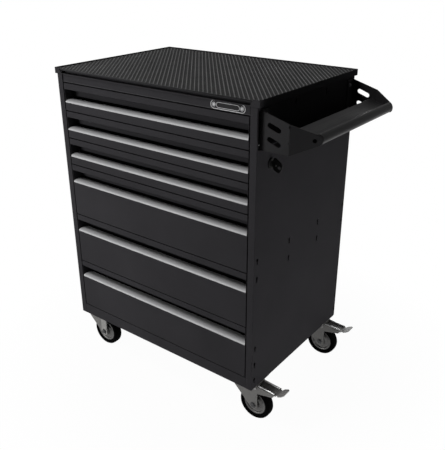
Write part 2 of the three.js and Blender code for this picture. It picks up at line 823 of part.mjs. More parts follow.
function lockKey() {
  const camFace = barOuter + camStandoff;
  const pin = rod(camPinRadius, barInner - gap, camFace + 2 * weld, 10, 'x');
  pin.translate(0, -camPinOffset, -camPinOffset);
  const pieces = [
    rod(plugRadius, camFace + weld, bodyHalf + plugProud + weld, 16, 'x'),
    rod(camRadius, camFace, camFace + camThickness, 16, 'x'),
    pin,
    keyBow(),
  ];
  addPart('lock_key', join(pieces).translate(0, lockDepth, lockHeight), blackPaint);
}

function lockBar(places) {
  const lowest = places[places.length - 1].bottom - hookDrop - barFootDrop;
  const highest = places[0].bottom + guideRise + barHeadRise;
  const pieces = [block(barInner, barOuter, barStart, barStart + barWidth, lowest, highest)];
  for (const { bottom } of places) {
    const z = bottom - hookDrop;
    const hookTip = barInner - hookReach;
    pieces.push(block(hookTip, barInner + weld, barStart, barStart + hookDepth, z, z + hookHeight));
  }
  const pinZ = lockHeight - camPinOffset;
  const slotHalf = camPinRadius + lockPinClearance;
  const pinSweep = Math.SQRT2 * camPinOffset; // radius of the circle that the cam pin runs on
  const slot = block(
    barInner - past, barOuter + past,
    lockDepth - pinSweep - slotHalf, lockDepth - camPinOffset + slotHalf,
    pinZ - slotHalf, pinZ + slotHalf,
  );
  addPart('lock_bar', cut(join(pieces), [slot]), zinc);
}

// Push handle: two bent brackets, and one folded sheet that is the bar and a tray behind it

// The bracket seen from the front, with a rounded nose.
function bracketOutline() {
  const noseZ = barTop - bracketNoseRadius;
  return [
    [bodyHalf, bracketTop],
    [bodyHalf + bracketRootWidth, bracketTop],
    [bendX, bracketBottom + bracketBendRise],
    ...arc(noseX - bracketNoseRadius, noseZ, bracketNoseRadius, 60, -50, 6),
    [bendX, bracketBottom],
    [bodyHalf, bracketBottom],
  ];
}

function slopedSlot(x, z) {
  const tilt = THREE.MathUtils.radToDeg(Math.atan2(slotFall, slotRun));
  const outline = [
    ...arc(x, z, slotWidth / 2, 90 - tilt, 270 - tilt, 6),
    ...arc(x + slotRun, z - slotFall, slotWidth / 2, -90 - tilt, 90 - tilt, 6),
  ];
  return prismY(outline, 0, bodyDepth);
}

function bracketHoles() {
  const slotX = bodyHalf + slotReach;
  const slotZ = bracketTop - slotDrop;
  const holes = [slopedSlot(slotX, slotZ), slopedSlot(slotX, slotZ - slotPitch)];
  const reliefTop = bracketBottom + bracketBendRise - reliefDrop;
  for (const z of [reliefTop, reliefTop - reliefPitch]) {
    const halfWidth = reliefWidth / 2;
    holes.push(block(bendX - halfWidth, bendX + halfWidth, 0, bodyDepth, z, z + reliefHeight));
  }
  const bolt = arc(noseX - boltHoleInset, barTop - boltHoleDrop, boltHoleRadius, 0, 324, 9);
  holes.push(prismY(bolt, 0, bodyDepth));
  return holes;
}

function bracket(name, atRear) {
  const place = (points) => points.map(([x, y]) => [x, atRear ? bodyDepth - y : y]);
  const sheet = folded([
    [bodyHalf + gap, bracketInset + bracketFlange],
    [bodyHalf + gap, bracketInset],
    [bendX, bracketInset],
    [bendX + bendRun, bracketInset + bendOffset],
  ], bracketSheet);
  const plate = prismZ(place(sheet), bracketBottom, bracketTop);
  const shaped = overlap(plate, prismY(bracketOutline(), 0, bodyDepth));
  addPart(name, cut(shaped, bracketHoles()), paint);
}

// The bar's section: from its lower lip round the nose, over the ridge and the trough, then down to
// the floor of the tray and across it to the body.
function barPath() {
  const ridge = noseX - barRidgeSetback;
  const trough = noseX - barTroughSetback;
  const crown = new THREE.SplineCurve([
    new THREE.Vector2(noseX - barLipSetback, barTop - barLip),
    new THREE.Vector2(noseX - gap, barTop - barNoseDrop - barRidgeWidth / 2),
    new THREE.Vector2(noseX - gap, barTop - barNoseDrop + barRidgeWidth / 2),
    new THREE.Vector2(ridge + barRidgeWidth, barTop - barRidgeWidth / 8),
    new THREE.Vector2(ridge, barTop),
    new THREE.Vector2(trough, barTop - barTroughDepth),
    new THREE.Vector2(trough - barTroughWidth, barTop - barTroughDepth),
    new THREE.Vector2(barInnerEdge, barTop - barInnerDrop),
  ]);
  const bar = crown.getPoints(21).map((point) => [point.x, point.y]);
  return [...bar, [barInnerEdge, trayFloor], [trayEdge, trayFloor]];
}

// The bent end plates of the bar, just inside the brackets' bent ends.
function barEndPlates(lift) {
  const ends = [1, -1].map((turn) => {
    const place = (y) => (turn > 0 ? y : bodyDepth - y);
    const path = [
      [barInnerEdge, place(barEndSide)],
      [barEndBend, place(barEndSide)],
      [barEndBend + bendRun, place(barEndSide + bendOffset)],
    ];
    return prismZ(folded(path, turn * barSheet), bracketBottom, bracketTop);
  });
  return ends.map((end) => overlap(end, prismY(lift, 0, bodyDepth)));
}

function handleBar() {
  const sheet = prismY(folded(barPath(), barSheet), 0, bodyDepth);
  const edge = [
    [bodyHalf, barEndSide],
    [barEndBend, barEndSide],
    [barEndBend + bendRun, barEndSide + bendOffset],
  ];
  const plan = [...edge, ...edge.map(([x, y]) => [x, bodyDepth - y]).reverse()];
  const trough = overlap(sheet, prismZ(plan, bracketBottom, bracketTop));
  const bendTop = bracketBottom + bracketBendRise;
  const plate = [
    [barInnerEdge, barTop - barInnerDrop - 2 * barSheet],
    [bendX, bendTop - barSheet],
    [noseX - barRidgeSetback, barTop - barSheet],
    [noseX - 2 * barSheet, barTop - barNoseDrop],
    [noseX - barLipSetback - barSheet, barTop - barLip + barSheet],
    [noseX - barTroughSetback, barTop - barLip],
    [barInnerEdge, barTop - barTroughDepth - 2 * barSheet],
  ];
  addPart('push_handle_bar', join([trough, ...barEndPlates(plate)]), paint);
}

// Castors

function castorPlate(name, x, y) {
  const top = castorTop;
  const pin = [
    [0, top - plateThickness + weld],
    [raceNeckRadius, top - plateThickness + weld],
    [raceNeckRadius, top - plateThickness - weld],
    [raceRadius, top - plateThickness - raceHeight / 2],
    [raceFootRadius, crownTop + gap],
    [kingpinRadius, crownTop + gap],
    [kingpinRadius, crownTop - forkSheet - gap],
    [kingpinHeadRadius, crownTop - forkSheet - gap],
    [kingpinHeadRadius, crownTop - forkSheet - gap - kingpinHeadHeight],
    [0, crownTop - forkSheet - gap - kingpinHeadHeight],
  ];
  const pieces = [
    block(-plateWidth / 2, plateWidth / 2, -plateLength / 2, plateLength / 2, top - plateThickness, top),
    turned(pin, 20, 'z'),
  ];
  addPart(`${name}_plate`, join(pieces).translate(x, y, 0), zinc);
}

// One leg of the fork, seen from the side: x from the axle, z above the floor.
function forkLegOutline(braked) {
  const back = forkLegRadius;
  const lead = castorTrail + forkLead;
  const armTop = crownTop - brakeArmStep;
  const arm = braked ? [
    [back, crownTop],
    [back, armTop],
    [brakeArmReach, armTop - brakeArmFall],
    [brakeArmReach - brakeArmTipSlope, armTop - brakeArmFall - brakeArmTipDrop],
    [back, armTop - brakeArmRootDrop],
  ] : [[back, crownTop]];
  return [
    ...arm,
    ...arc(0, wheelRadius, forkLegRadius, 0, -140, 7),
    [-lead + forkShoulderStep, crownTop - forkShoulderDrop - forkShoulderSlope],
    [-lead, crownTop - forkShoulderDrop],
    [-lead, crownTop],
  ];
}

function castorFork(name, x, y, braked) {
  const half = forkWidth / 2;
  const inside = half - forkSheet;
  const body = prismY(forkLegOutline(braked), -half, half);
  const tools = [
    block(-castorHeight, castorHeight, -inside, inside, 0, crownTop - forkSheet),
    rod(axleRadius + gap, -forkWidth, forkWidth, 12, 'y').translate(0, 0, wheelRadius),
    rod(kingpinRadius + gap, 0, castorHeight, 12, 'z').translate(-castorTrail, 0, 0),
  ];
  if (braked) {
    tools.push(block(forkLegRadius, castorHeight, -inside, inside, 0, castorHeight));
    const pinHole = rod(pedalPinRadius + gap, -forkWidth, forkWidth, 10, 'y');
    tools.push(pinHole.translate(pedalPivotX, 0, crownTop - pedalPivotDrop));
  }
  addPart(`${name}_fork`, cut(body, tools).translate(x, y, 0), zinc);
}

function castorAxle(name, x, y) {
  const seat = forkWidth / 2 + gap;
  const end = seat + axleHeadHeight;
  const profile = [
    [0, -end], [axleHeadRadius, -end], [axleHeadRadius, -seat], [axleRadius, -seat],
    [axleRadius, seat], [axleHeadRadius, seat], [axleHeadRadius, end], [0, end],
  ];
  addPart(`${name}_axle`, turned(profile, 12, 'y').translate(x, y, wheelRadius), darkZinc);
}

function castorWheel(name, x, y) {
  const seat = wheelRadius - tyreThickness;
  const half = tyreWidth / 2;
  const tyre = [
    [seat, -rimWidth / 2],
    [wheelRadius - 2 * tyreRounding, -half],
    [wheelRadius - tyreRounding / 2, -half + tyreRounding / 2],
    [wheelRadius, -half + 2 * tyreRounding],
    [wheelRadius, half - 2 * tyreRounding],
    [wheelRadius - tyreRounding / 2, half - tyreRounding / 2],
    [wheelRadius - 2 * tyreRounding, half],
    [seat, rimWidth / 2],
    [seat, -rimWidth / 2],
  ];
  const rimOuter = seat - gap;
  const rimHalf = rimWidth / 2;
  const web = webThickness / 2;
  const bore = axleRadius + gap;
  const hubHalf = forkWidth / 2 - forkSheet - hubPlay;
  const rim = [
    [bore, -hubHalf], [hubRadius, -hubHalf], [hubRadius, -web], [rimOuter - web, -web],
    [rimOuter - web, -rimHalf], [rimOuter, -rimHalf], [rimOuter, rimHalf], [rimOuter - web, rimHalf],
    [rimOuter - web, web], [hubRadius, web], [hubRadius, hubHalf], [bore, hubHalf], [bore, -hubHalf],
  ];
  addPart(`${name}_tyre`, turned(tyre, 32, 'y').translate(x, y, wheelRadius), rubber);
  addPart(`${name}_rim`, turned(rim, 16, 'y').translate(x, y, wheelRadius), darkZinc);
}

// Brake pedal: a channel between the fork's arms with a tilted foot pad, a pin and a shoe over the tyre

function brakePad(half, neckHalf, plateZ) {
  const tipReach = pedalNeckReach + pedalPadLength;
  const side = folded([
    [tipReach, plateZ + pedalTipRise],
    [pedalNeckReach, plateZ],
    [pedalNeckReach - padLap, plateZ],
  ], -pedalSheet);
  const shoulder = pedalNeckReach + padNeckLength;
  const end = tipReach - weld;
  const edge = [
    [pedalNeckReach - padLap, neckHalf],
    [shoulder, neckHalf],
    [shoulder + padFlare, half],
    [end - padCorner, half],
    [end, half - padCorner],
  ];
  const plan = [...edge, ...edge.map(([x, y]) => [x, -y]).reverse()];
  return overlap(prismY(side, -half, half), prismZ(plan, 0, castorHeight));
}

// Flanges along the pedal's plate, with rolled edges that stand a little above the arms
function pedalFlanges(plateHalf, plateTop) {
  const slope = Math.atan2(brakeArmFall, brakeArmReach - forkLegRadius);
  const start = forkLegRadius + flangeStart;
  const end = brakeArmReach - flangeInset;
  const beadAt = (x) => crownTop - brakeArmStep - (x - forkLegRadius) * Math.tan(slope) + beadRise;
  const wall = [
    [start, plateTop - weld], [end, plateTop - weld],
    [end, beadAt(end)], [start, beadAt(start)],
  ];
  return [-1, 1].flatMap((hand) => {
    const middle = hand * (plateHalf - beadRadius);
    const bead = rod(beadRadius, 0, (end - start) / Math.cos(slope), 8, 'x');
    return [
      prismY(wall, middle - pedalSheet / 2, middle + pedalSheet / 2),
      bead.rotateY(slope).translate(start, middle, beadAt(start)),
    ];
  });
}

function brakePedal(name, x, y) {
  const half = forkWidth / 2;
  const plateHalf = half - forkSheet - gap;
  const pivotZ = crownTop - pedalPivotDrop;
  const tailX = pedalPivotX - pedalTail;
  const plate = block(tailX, pedalNeckReach, -plateHalf, plateHalf, pivotZ, pivotZ + pedalSheet);
  const pad = brakePad(half, plateHalf - padNeckInset, pivotZ);
  const angle = THREE.MathUtils.degToRad(shoeAngle);
  const reach = wheelRadius + shoeClearance;
  const faceX = reach * Math.cos(angle);
  const faceZ = wheelRadius + reach * Math.sin(angle);
  const runX = (shoeLength / 2) * Math.sin(angle);
  const runZ = (shoeLength / 2) * Math.cos(angle);
  const shoe = prismY([
    [faceX - runX, faceZ + runZ], [faceX + runX, faceZ - runZ],
    [faceX + runX, pivotZ + weld], [faceX - runX, pivotZ + weld],
  ], -shoeWidth / 2, shoeWidth / 2);
  const headRadius = pedalPinRadius + pedalPinHead;
  const seat = half + gap;
  const end = seat + pedalPinHead;
  const pin = turned([
    [0, -end], [headRadius, -end], [headRadius, -seat], [pedalPinRadius, -seat],
    [pedalPinRadius, seat], [headRadius, seat], [headRadius, end], [0, end],
  ], 10, 'y').translate(pedalPivotX, 0, pivotZ);
  const flanges = pedalFlanges(plateHalf, pivotZ + pedalSheet);
  addPart(`${name}_pedal`, join([plate, pad, shoe, pin, ...flanges]).translate(x, y, 0), zinc);
}

function castors() {
  const rows = [['front', castorFrontInset], ['rear', bodyDepth - castorRearInset]];
  for (const [row, y] of rows) {
    for (const [hand, side] of [['left', -1], ['right', 1]]) {
      const name = `castor_${row}_${hand}`;
      const swivelX = side * (bodyHalf - castorSideInset);
      const axleX = swivelX + castorTrail;
      const braked = side > 0;
      castorPlate(name, swivelX, y);
      castorFork(name, axleX, y, braked);
      castorAxle(name, axleX, y);
      castorWheel(name, axleX, y);
      if (braked) brakePedal(name, axleX, y);
    }
  }
}

// Assembly

const places = drawerPlaces();
sidePanels();
backPanel();
basePanel();
worktop();
topMat();
slideRacks(places);
drawers(places);
lockBarrel();
lockKey();
lockBar(places);
bracket('push_handle_front_bracket', false);
bracket('push_handle_rear_bracket', true);
handleBar();
castors();

const bounds = new THREE.Box3().setFromObject(cabinet);
const centre = bounds.getCenter(new THREE.Vector3());
cabinet.position.set(-centre.x, -centre.y, -bounds.min.z);
cabinet.name = 'tool_cabinet';

export default cabinet;
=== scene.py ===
import math

import bmesh
import bpy
from bpy.props import FloatProperty, FloatVectorProperty, IntProperty, PointerProperty
from mathutils import Matrix, Vector


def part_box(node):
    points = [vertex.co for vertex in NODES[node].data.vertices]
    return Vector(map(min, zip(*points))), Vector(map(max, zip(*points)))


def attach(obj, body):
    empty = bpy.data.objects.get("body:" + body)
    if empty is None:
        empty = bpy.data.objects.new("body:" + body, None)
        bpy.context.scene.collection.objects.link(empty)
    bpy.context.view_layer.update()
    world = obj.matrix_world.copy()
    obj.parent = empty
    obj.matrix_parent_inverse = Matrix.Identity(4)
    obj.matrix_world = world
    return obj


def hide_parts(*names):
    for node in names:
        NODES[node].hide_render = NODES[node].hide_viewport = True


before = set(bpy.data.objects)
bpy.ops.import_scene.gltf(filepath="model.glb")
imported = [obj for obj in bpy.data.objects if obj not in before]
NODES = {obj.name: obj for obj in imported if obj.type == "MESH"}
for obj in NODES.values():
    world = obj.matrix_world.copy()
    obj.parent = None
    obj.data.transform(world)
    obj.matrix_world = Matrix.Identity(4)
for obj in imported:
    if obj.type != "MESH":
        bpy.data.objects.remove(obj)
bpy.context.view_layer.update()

bl_info = {
    "name": "Roller Tool Cabinet",
    "version": (1, 0, 0),
    "blender": (4, 5, 0),
    "location": "View3D > Sidebar > Cabinet",
    "description": "Finishes, fittings and studio of a roller tool cabinet",
    "category": "Object",
}

DRAWERS = [f"drawer_{i}" for i in range(1, 7)]
CASTORS = [f"castor_{row}_{hand}" for row in ("front", "rear") for hand in ("left", "right")]
BRAKED = [name for name in CASTORS if name.endswith("right")]
MM = 0.001
SUNK = 0.2 * MM  # how far a rivet's head stands in the sheet below it
FITTING_STEPS = 24  # steps round bolts, rivets and rods


def colour(name, text, value):
    return FloatVectorProperty(
        name=name, description=text, default=value, size=3, min=0.0, max=1.0, subtype="COLOR"
    )


def length(name, text, value):
    return FloatProperty(name=name, description=text, default=value, min=0.0, unit="LENGTH")


def number(name, text, value):
    return FloatProperty(name=name, description=text, default=value, min=0.0, max=1.0, subtype="FACTOR")


def power(name, text, value):
    return FloatProperty(name=name, description=text, default=value, min=0.0, unit="POWER")


class CabinetFinish(bpy.types.PropertyGroup):
    """Colours, roughness and gloss of the cabinet's finishes"""

    paint: colour("Powder coat", "Dark powder coat of the sheet metal", (0.031, 0.03, 0.0325))
    handle_paint: colour("Handle coat", "Powder coat of the push handle", (0.021, 0.0205, 0.0215))
    # Paler coat on edges: partly rubbed wear, partly a painted highlight of the light that rounded edges
    # catch.
    edge_wear_and_highlight: colour("Rubbed edge and highlight", "Paler powder coat of rubbed edges and painted edge highlights", (0.07, 0.069, 0.072))
    dust: colour("Dust", "Thin dust on faces that look up", (0.12, 0.118, 0.115))
    mat_pit: colour("Mat pit", "Rubber in the pits of the mat", (0.005, 0.005, 0.0051))
    # Paler rubber on the ridge tops: partly wear, partly a painted sheen.
    mat_ridge_wear_and_sheen: colour("Mat ridge", "Rubber on top of the mat's ridges", (0.1, 0.1, 0.101))
    grip: colour("Grip", "Anodised aluminium of the grips", (0.39, 0.39, 0.395))
    zinc: colour("Zinc", "Zinc-plated steel of the slides", (0.42, 0.42, 0.43))
    # Dull zinc, darkened so the racks look shaded where they show through slots: partly painted shade.
    rack: colour("Slide racks", "Dull zinc of the racks that carry the slides, darkened as painted shade", (0.084, 0.084, 0.086))
    fork: colour("Castor steel", "Dull plated steel of the castors", (0.13, 0.127, 0.122))
    polish: colour("Rolled edges", "Polished rolled edges of the brake pedals", (0.55, 0.55, 0.55))
    # Twice as light as the castor steel: a painted reflection on the unbraked forks' legs.
    leg_reflection: colour("Fork legs", "Pressed faces of the unbraked forks' legs", (0.25, 0.245, 0.235))
    rim: colour("Wheel rim", "Pressed steel of the wheel rims", (0.09, 0.088, 0.086))
    tyre: colour("Tyre", "Black rubber of the tyres", (0.0015, 0.0015, 0.0015))
    bolt: colour("Bolts", "Blackened bolts and nuts", (0.05, 0.05, 0.052))
    badge: colour("Badge", "Pale metal of the badge's outlines", (0.5, 0.5, 0.51))
    mat_border: colour("Mat border", "Plain rubber along the mat's edges", (0.022, 0.022, 0.023))
    # Twice as light as the castor steel, since no lamp reaches the pedals: painted light.
    pedal: colour("Pedal", "Plated steel of the brake pedals", (0.26, 0.255, 0.25))
    lock: colour("Lock", "Black plastic of key and bezel", (0.006, 0.006, 0.006))
    # Near black that stands for deep shade: painted shade at the foot of the finger recesses and on the
    # push handle's dark bolt domes.
    gap: colour("Painted shade", "Black at the foot of the finger recesses", (0.001, 0.001, 0.001))
    paint_roughness: number("Paint roughness", "Roughness of the powder coat", 0.55)
    paint_gloss: number("Paint gloss", "Specular level of the powder coat", 0.006)
    handle_roughness: number("Handle roughness", "Roughness of the push handle's coat", 0.42)
    handle_gloss: number("Handle gloss", "Specular level of the push handle's coat", 0.025)


class CabinetSizes(bpy.types.PropertyGroup):
    """Sizes of the cabinet's small fittings"""

    edge_radius: length("Edge radius", "Rounding of folded and cut sheet edges", 0.0006)
    fold_radius: length("Fold radius", "How far the shading of a fold is rounded", 0.0016)
    grain: length("Grain", "Grain size of the powder coat", 0.0014)
    mat_cell_width: length("Mat cell width", "Width of a diamond of the mat", 0.01325)
    mat_cell_depth: length("Mat cell depth", "Front to back size of a diamond of the mat", 0.0164)
    mat_ridge_width: length("Ridge width", "Width of the mat's bold ridges", 0.0022)
    mat_cross_width: length("Cross ridge width", "Width of the ridges that cross them", 0.0006)
    mat_border: length("Mat border", "Width of the raised border of the mat", 0.0028)
    mat_pit_depth: length("Pit depth", "Depth of the mat's pits", 0.0013)
    badge_length: length("Badge length", "Length of the badge plate", 0.1)
    badge_height: length("Badge height", "Height of the badge plate", 0.0204)
    badge_reach: length("Badge place", "From the cabinet's middle to the badge's middle", 0.2565)
    rivet_radius: length("Rivet radius", "Radius of a rivet's head", 0.0034)
    bolt_radius: length("Bolt radius", "Half the width of a castor plate bolt's head", 0.0052)
    wheel_segments: IntProperty(
        name="Wheel segments", description="Steps round a wheel", default=96, min=24, max=256
    )


class CabinetStudio(bpy.types.PropertyGroup):
    """Floor, lamps and camera"""

    floor: colour("Floor", "Pale floor", (0.8, 0.8, 0.8))
    ambient: number("Ambient", "Strength of the surrounding light", 0.01)
    key_power: power("Key", "Power of the lamp at the front left", 20.0)
    side_power: power("Side", "Power of the lamp at the right", 11.0)
    top_power: power("Top", "Power of the lamp above", 28.0)
    rear_power: power("Rear", "Power of the lamp behind, to the left", 14.0)
    lens: FloatProperty(name="Lens", description="Focal length", default=49.28, min=1.0, unit="CAMERA")


# Node trees


def add_node(tree, kind, values=None, **settings):
    node = tree.nodes.new(kind)
    for key, value in settings.items():
        setattr(node, key, value)
    for key, value in (values or {}).items():
        socket = node.inputs[key]
        if isinstance(value, bpy.types.NodeSocket):
            tree.links.new(value, socket)
        else:
            socket.default_value = value
    return node


def math_node(tree, operation, *values):
    return add_node(tree, "ShaderNodeMath", dict(enumerate(values)), operation=operation).outputs[0]


def noise(tree, vector, scale, detail=2.0, roughness=0.5):
    values = {"Vector": vector, "Scale": scale, "Detail": detail, "Roughness": roughness}
    return add_node(tree, "ShaderNodeTexNoise", values).outputs["Fac"]


def spread(tree, value, low, high, from_low=0.0, from_high=1.0):
    values = {"Value": value, "From Min": from_low, "From Max": from_high, "To Min": low, "To Max": high}
    return add_node(tree, "ShaderNodeMapRange", values).outputs[0]


def mix_colour(tree, factor, first, second):
    node = add_node(tree, "ShaderNodeMix", data_type="RGBA")
    for socket, value in ((node.inputs[0], factor), (node.inputs[6], first), (node.inputs[7], second)):
        if isinstance(value, bpy.types.NodeSocket):
            tree.links.new(value, socket)
        else:
            socket.default_value = value
    return node.outputs[2]


def new_group(name, inputs, outputs):
    tree = bpy.data.node_groups.new(name, "ShaderNodeTree")
    for label, kind, value in inputs:
        socket = tree.interface.new_socket(label, in_out="INPUT", socket_type="NodeSocket" + kind)
        socket.default_value = value
    for label, kind in outputs:
        tree.interface.new_socket(label, in_out="OUTPUT", socket_type="NodeSocket" + kind)
    start = tree.nodes.new("NodeGroupInput")
    end = tree.nodes.new("NodeGroupOutput")
    return tree, start.outputs, end.inputs


def object_place(tree):
    return add_node(tree, "ShaderNodeTexCoord").outputs["Object"]


def grain_group():
    """Fine orange peel with soft patches, for powder coat, rubber and moulded plastic."""
    tree, given, out = new_group(
        "Grain",
        [
            ("Color", "Color", (0.5, 0.5, 0.5, 1.0)),
            ("Grain size", "Float", 0.001),
            ("Patches", "Float", 0.1),
            ("Roughness", "Float", 0.5),
        ],
        [("Color", "Color"), ("Roughness", "Float"), ("Height", "Float")],
    )
    place = object_place(tree)
    scale = math_node(tree, "DIVIDE", 1.0, given["Grain size"])
    peel = noise(tree, place, scale, 3.0)
    patches = noise(tree, place, 7.0, 4.0)
    swing = math_node(tree, "MULTIPLY", spread(tree, patches, -1.0, 1.0, 0.3, 0.7), given["Patches"])
    value = math_node(tree, "ADD", 1.0, swing)
    toned = add_node(
        tree, "ShaderNodeHueSaturation", {"Color": given["Color"], "Value": value}
    ).outputs[0]
    tree.links.new(toned, out["Color"])
    lift = math_node(tree, "MULTIPLY", swing, 0.5)
    tree.links.new(math_node(tree, "ADD", given["Roughness"], lift), out["Roughness"])
    tree.links.new(peel, out["Height"])
    return tree


def edge_group():
    """Mask of edges rubbed by use; on the powder coat it also carries a painted edge highlight."""
    tree, given, out = new_group(
        "Edge wear",
        [("Radius", "Float", 0.001), ("Strength", "Float", 1.0)],
        [("Mask", "Float")],
    )
    rounded = add_node(tree, "ShaderNodeBevel", {"Radius": given["Radius"]}, samples=4).outputs[0]
    flat = add_node(tree, "ShaderNodeNewGeometry").outputs["Normal"]
    facing = add_node(
        tree, "ShaderNodeVectorMath", {0: rounded, 1: flat}, operation="DOT_PRODUCT"
    ).outputs["Value"]
    turned = spread(tree, facing, 1.0, 0.0, 0.7, 0.98)
    patchy = spread(tree, noise(tree, object_place(tree), 60.0, 4.0), 0.2, 1.0, 0.35, 0.65)
    mask = math_node(tree, "MULTIPLY", math_node(tree, "MULTIPLY", turned, patchy), given["Strength"])
    tree.links.new(mask, out["Mask"])
    return tree


def dust_group():
    """Mask of thin dust on faces that look up."""
    tree, given, out = new_group("Dust", [("Amount", "Float", 0.1)], [("Mask", "Float")])
    normal = add_node(tree, "ShaderNodeNewGeometry").outputs["Normal"]
    up = add_node(tree, "ShaderNodeSeparateXYZ", {0: normal}).outputs["Z"]
    lying = spread(tree, up, 0.0, 1.0, 0.6, 1.0)
    cloud = spread(tree, noise(tree, object_place(tree), 25.0, 5.0, 0.6), 0.3, 1.0, 0.3, 0.7)
    mask = math_node(tree, "MULTIPLY", math_node(tree, "MULTIPLY", lying, cloud), given["Amount"])
    tree.links.new(mask, out["Mask"])
    return tree


def brushed_group():
    """Fine lines of rolled or brushed metal that run along one axis."""
    tree, given, out = new_group(
        "Brushed lines",
        [("Stretch", "Vector", (1.0, 60.0, 60.0)), ("Roughness", "Float", 0.3), ("Swing", "Float", 0.1)],
        [("Roughness", "Float"), ("Height", "Float"), ("Tone", "Float")],
    )
    drawn = add_node(
        tree, "ShaderNodeVectorMath", {0: object_place(tree), 1: given["Stretch"]}, operation="MULTIPLY"
    ).outputs["Vector"]
    lines = noise(tree, drawn, 40.0, 4.0, 0.6)
    swing = math_node(tree, "MULTIPLY", spread(tree, lines, -1.0, 1.0, 0.3, 0.7), given["Swing"])
    tree.links.new(math_node(tree, "ADD", given["Roughness"], swing), out["Roughness"])
    tree.links.new(lines, out["Height"])
    tree.links.new(spread(tree, lines, 0.85, 1.1, 0.3, 0.7), out["Tone"])
    return tree


GROUPS = {}


def use_group(tree, name, values):
    makers = {
        "Grain": grain_group,
        "Edge wear": edge_group,
        "Dust": dust_group,
        "Brushed lines": brushed_group,
    }
    if name not in GROUPS:
        GROUPS[name] = makers[name]()
    return add_node(tree, "ShaderNodeGroup", values, node_tree=GROUPS[name]).outputs


# Materials

MATERIALS = {}


def rgba(value):
    return (*value, 1.0)


def new_material(name):
    material = bpy.data.materials.new(name)
    material.use_nodes = True
    tree = material.node_tree
    shader = next(node for node in tree.nodes if node.type == "BSDF_PRINCIPLED")
    MATERIALS[name] = material
    return tree, shader


def add_bump(tree, shader, height, distance, rounding=0.0):
    bump = add_node(
        tree, "ShaderNodeBump", {"Height": height, "Distance": distance, "Strength": 1.0}
    )
    if rounding:
        rounded = add_node(tree, "ShaderNodeBevel", {"Radius": rounding}, samples=6)
        tree.links.new(rounded.outputs[0], bump.inputs["Normal"])
    tree.links.new(bump.outputs[0], shader.inputs["Normal"])


def add_skin(tree, shader, colour, size, patches, roughness, gloss):
    """The shared grain, with its roughness and the gloss set on the shader."""
    values = {"Color": rgba(colour), "Grain size": size, "Patches": patches, "Roughness": roughness}
    skin = use_group(tree, "Grain", values)
    tree.links.new(skin["Roughness"], shader.inputs["Roughness"])
    shader.inputs["Specular IOR Level"].default_value = gloss
    return skin


def painted(name, base, finish, sizes, roughness, gloss, wear=0.6):
    """Powder coat: grain, soft patches, rubbed edges that are partly a painted highlight, and a breath
    of dust.
    """
    tree, shader = new_material(name)
    skin = add_skin(tree, shader, base, sizes.grain, 0.08, roughness, gloss)
    # Paler edges: wear, and a painted highlight along the edges.
    rubbed = use_group(tree, "Edge wear", {"Radius": 0.9 * MM, "Strength": wear})
    settled = use_group(tree, "Dust", {"Amount": 0.06})
    worn_and_highlit = mix_colour(tree, rubbed["Mask"], skin["Color"], rgba(finish.edge_wear_and_highlight))
    dusted = mix_colour(tree, settled["Mask"], worn_and_highlit, rgba(finish.dust))
    tree.links.new(dusted, shader.inputs["Base Color"])
    add_bump(tree, shader, skin["Height"], 0.05 * MM, sizes.fold_radius)


def metal(name, base, roughness, stretch, metallic, swing=0.1, wear=0.0):
    """Plated or anodised metal with fine lines, rubbed bright at its edges where it wears."""
    tree, shader = new_material(name)
    lines = use_group(
        tree, "Brushed lines", {"Stretch": stretch, "Roughness": roughness, "Swing": swing}
    )
    toned = add_node(
        tree, "ShaderNodeHueSaturation", {"Color": rgba(base), "Value": lines["Tone"]}
    ).outputs[0]
    if wear:
        rubbed = use_group(tree, "Edge wear", {"Radius": 0.8 * MM, "Strength": wear})
        bright = tuple(min(1.0, 2.2 * value) for value in base)
        toned = mix_colour(tree, rubbed["Mask"], toned, rgba(bright))
    tree.links.new(toned, shader.inputs["Base Color"])
    tree.links.new(lines["Roughness"], shader.inputs["Roughness"])
    shader.inputs["Metallic"].default_value = metallic
    add_bump(tree, shader, lines["Height"], 0.02 * MM)


def plastic(name, base, roughness, gloss, grain, bump=0.04 * MM, patches=0.1):
    """Rubber or moulded plastic."""
    tree, shader = new_material(name)
    skin = add_skin(tree, shader, base, grain, patches, roughness, gloss)
    tree.links.new(skin["Color"], shader.inputs["Base Color"])
    add_bump(tree, shader, skin["Height"], bump)


def mat_rubber(finish, sizes):
    """Rubber whose ridge tops are coloured paler than the pits between them: partly wear, partly a
    painted sheen.
    """
    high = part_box("top_mat")[1].z
    tree, shader = new_material("mat rubber")
    place = object_place(tree)
    height = add_node(tree, "ShaderNodeSeparateXYZ", {0: place}).outputs["Z"]
    ridge = spread(tree, height, 0.0, 1.0, high - sizes.mat_pit_depth, high - 0.2 * MM)
    patchy = spread(tree, noise(tree, place, 30.0, 4.0), 0.85, 1.0, 0.3, 0.7)
    skin = add_skin(tree, shader, finish.mat_pit, 1.2 * MM, 0.15, 0.65, 0.1)
    rubbed = math_node(tree, "MULTIPLY", ridge, patchy)
    # Ridge tops turn paler: wear and painted sheen.
    toned = mix_colour(tree, rubbed, skin["Color"], rgba(finish.mat_ridge_wear_and_sheen))
    settled = use_group(tree, "Dust", {"Amount": 0.04})
    dusted = mix_colour(tree, settled["Mask"], toned, rgba(finish.dust))
    tree.links.new(dusted, shader.inputs["Base Color"])
    add_bump(tree, shader, skin["Height"], 0.06 * MM)


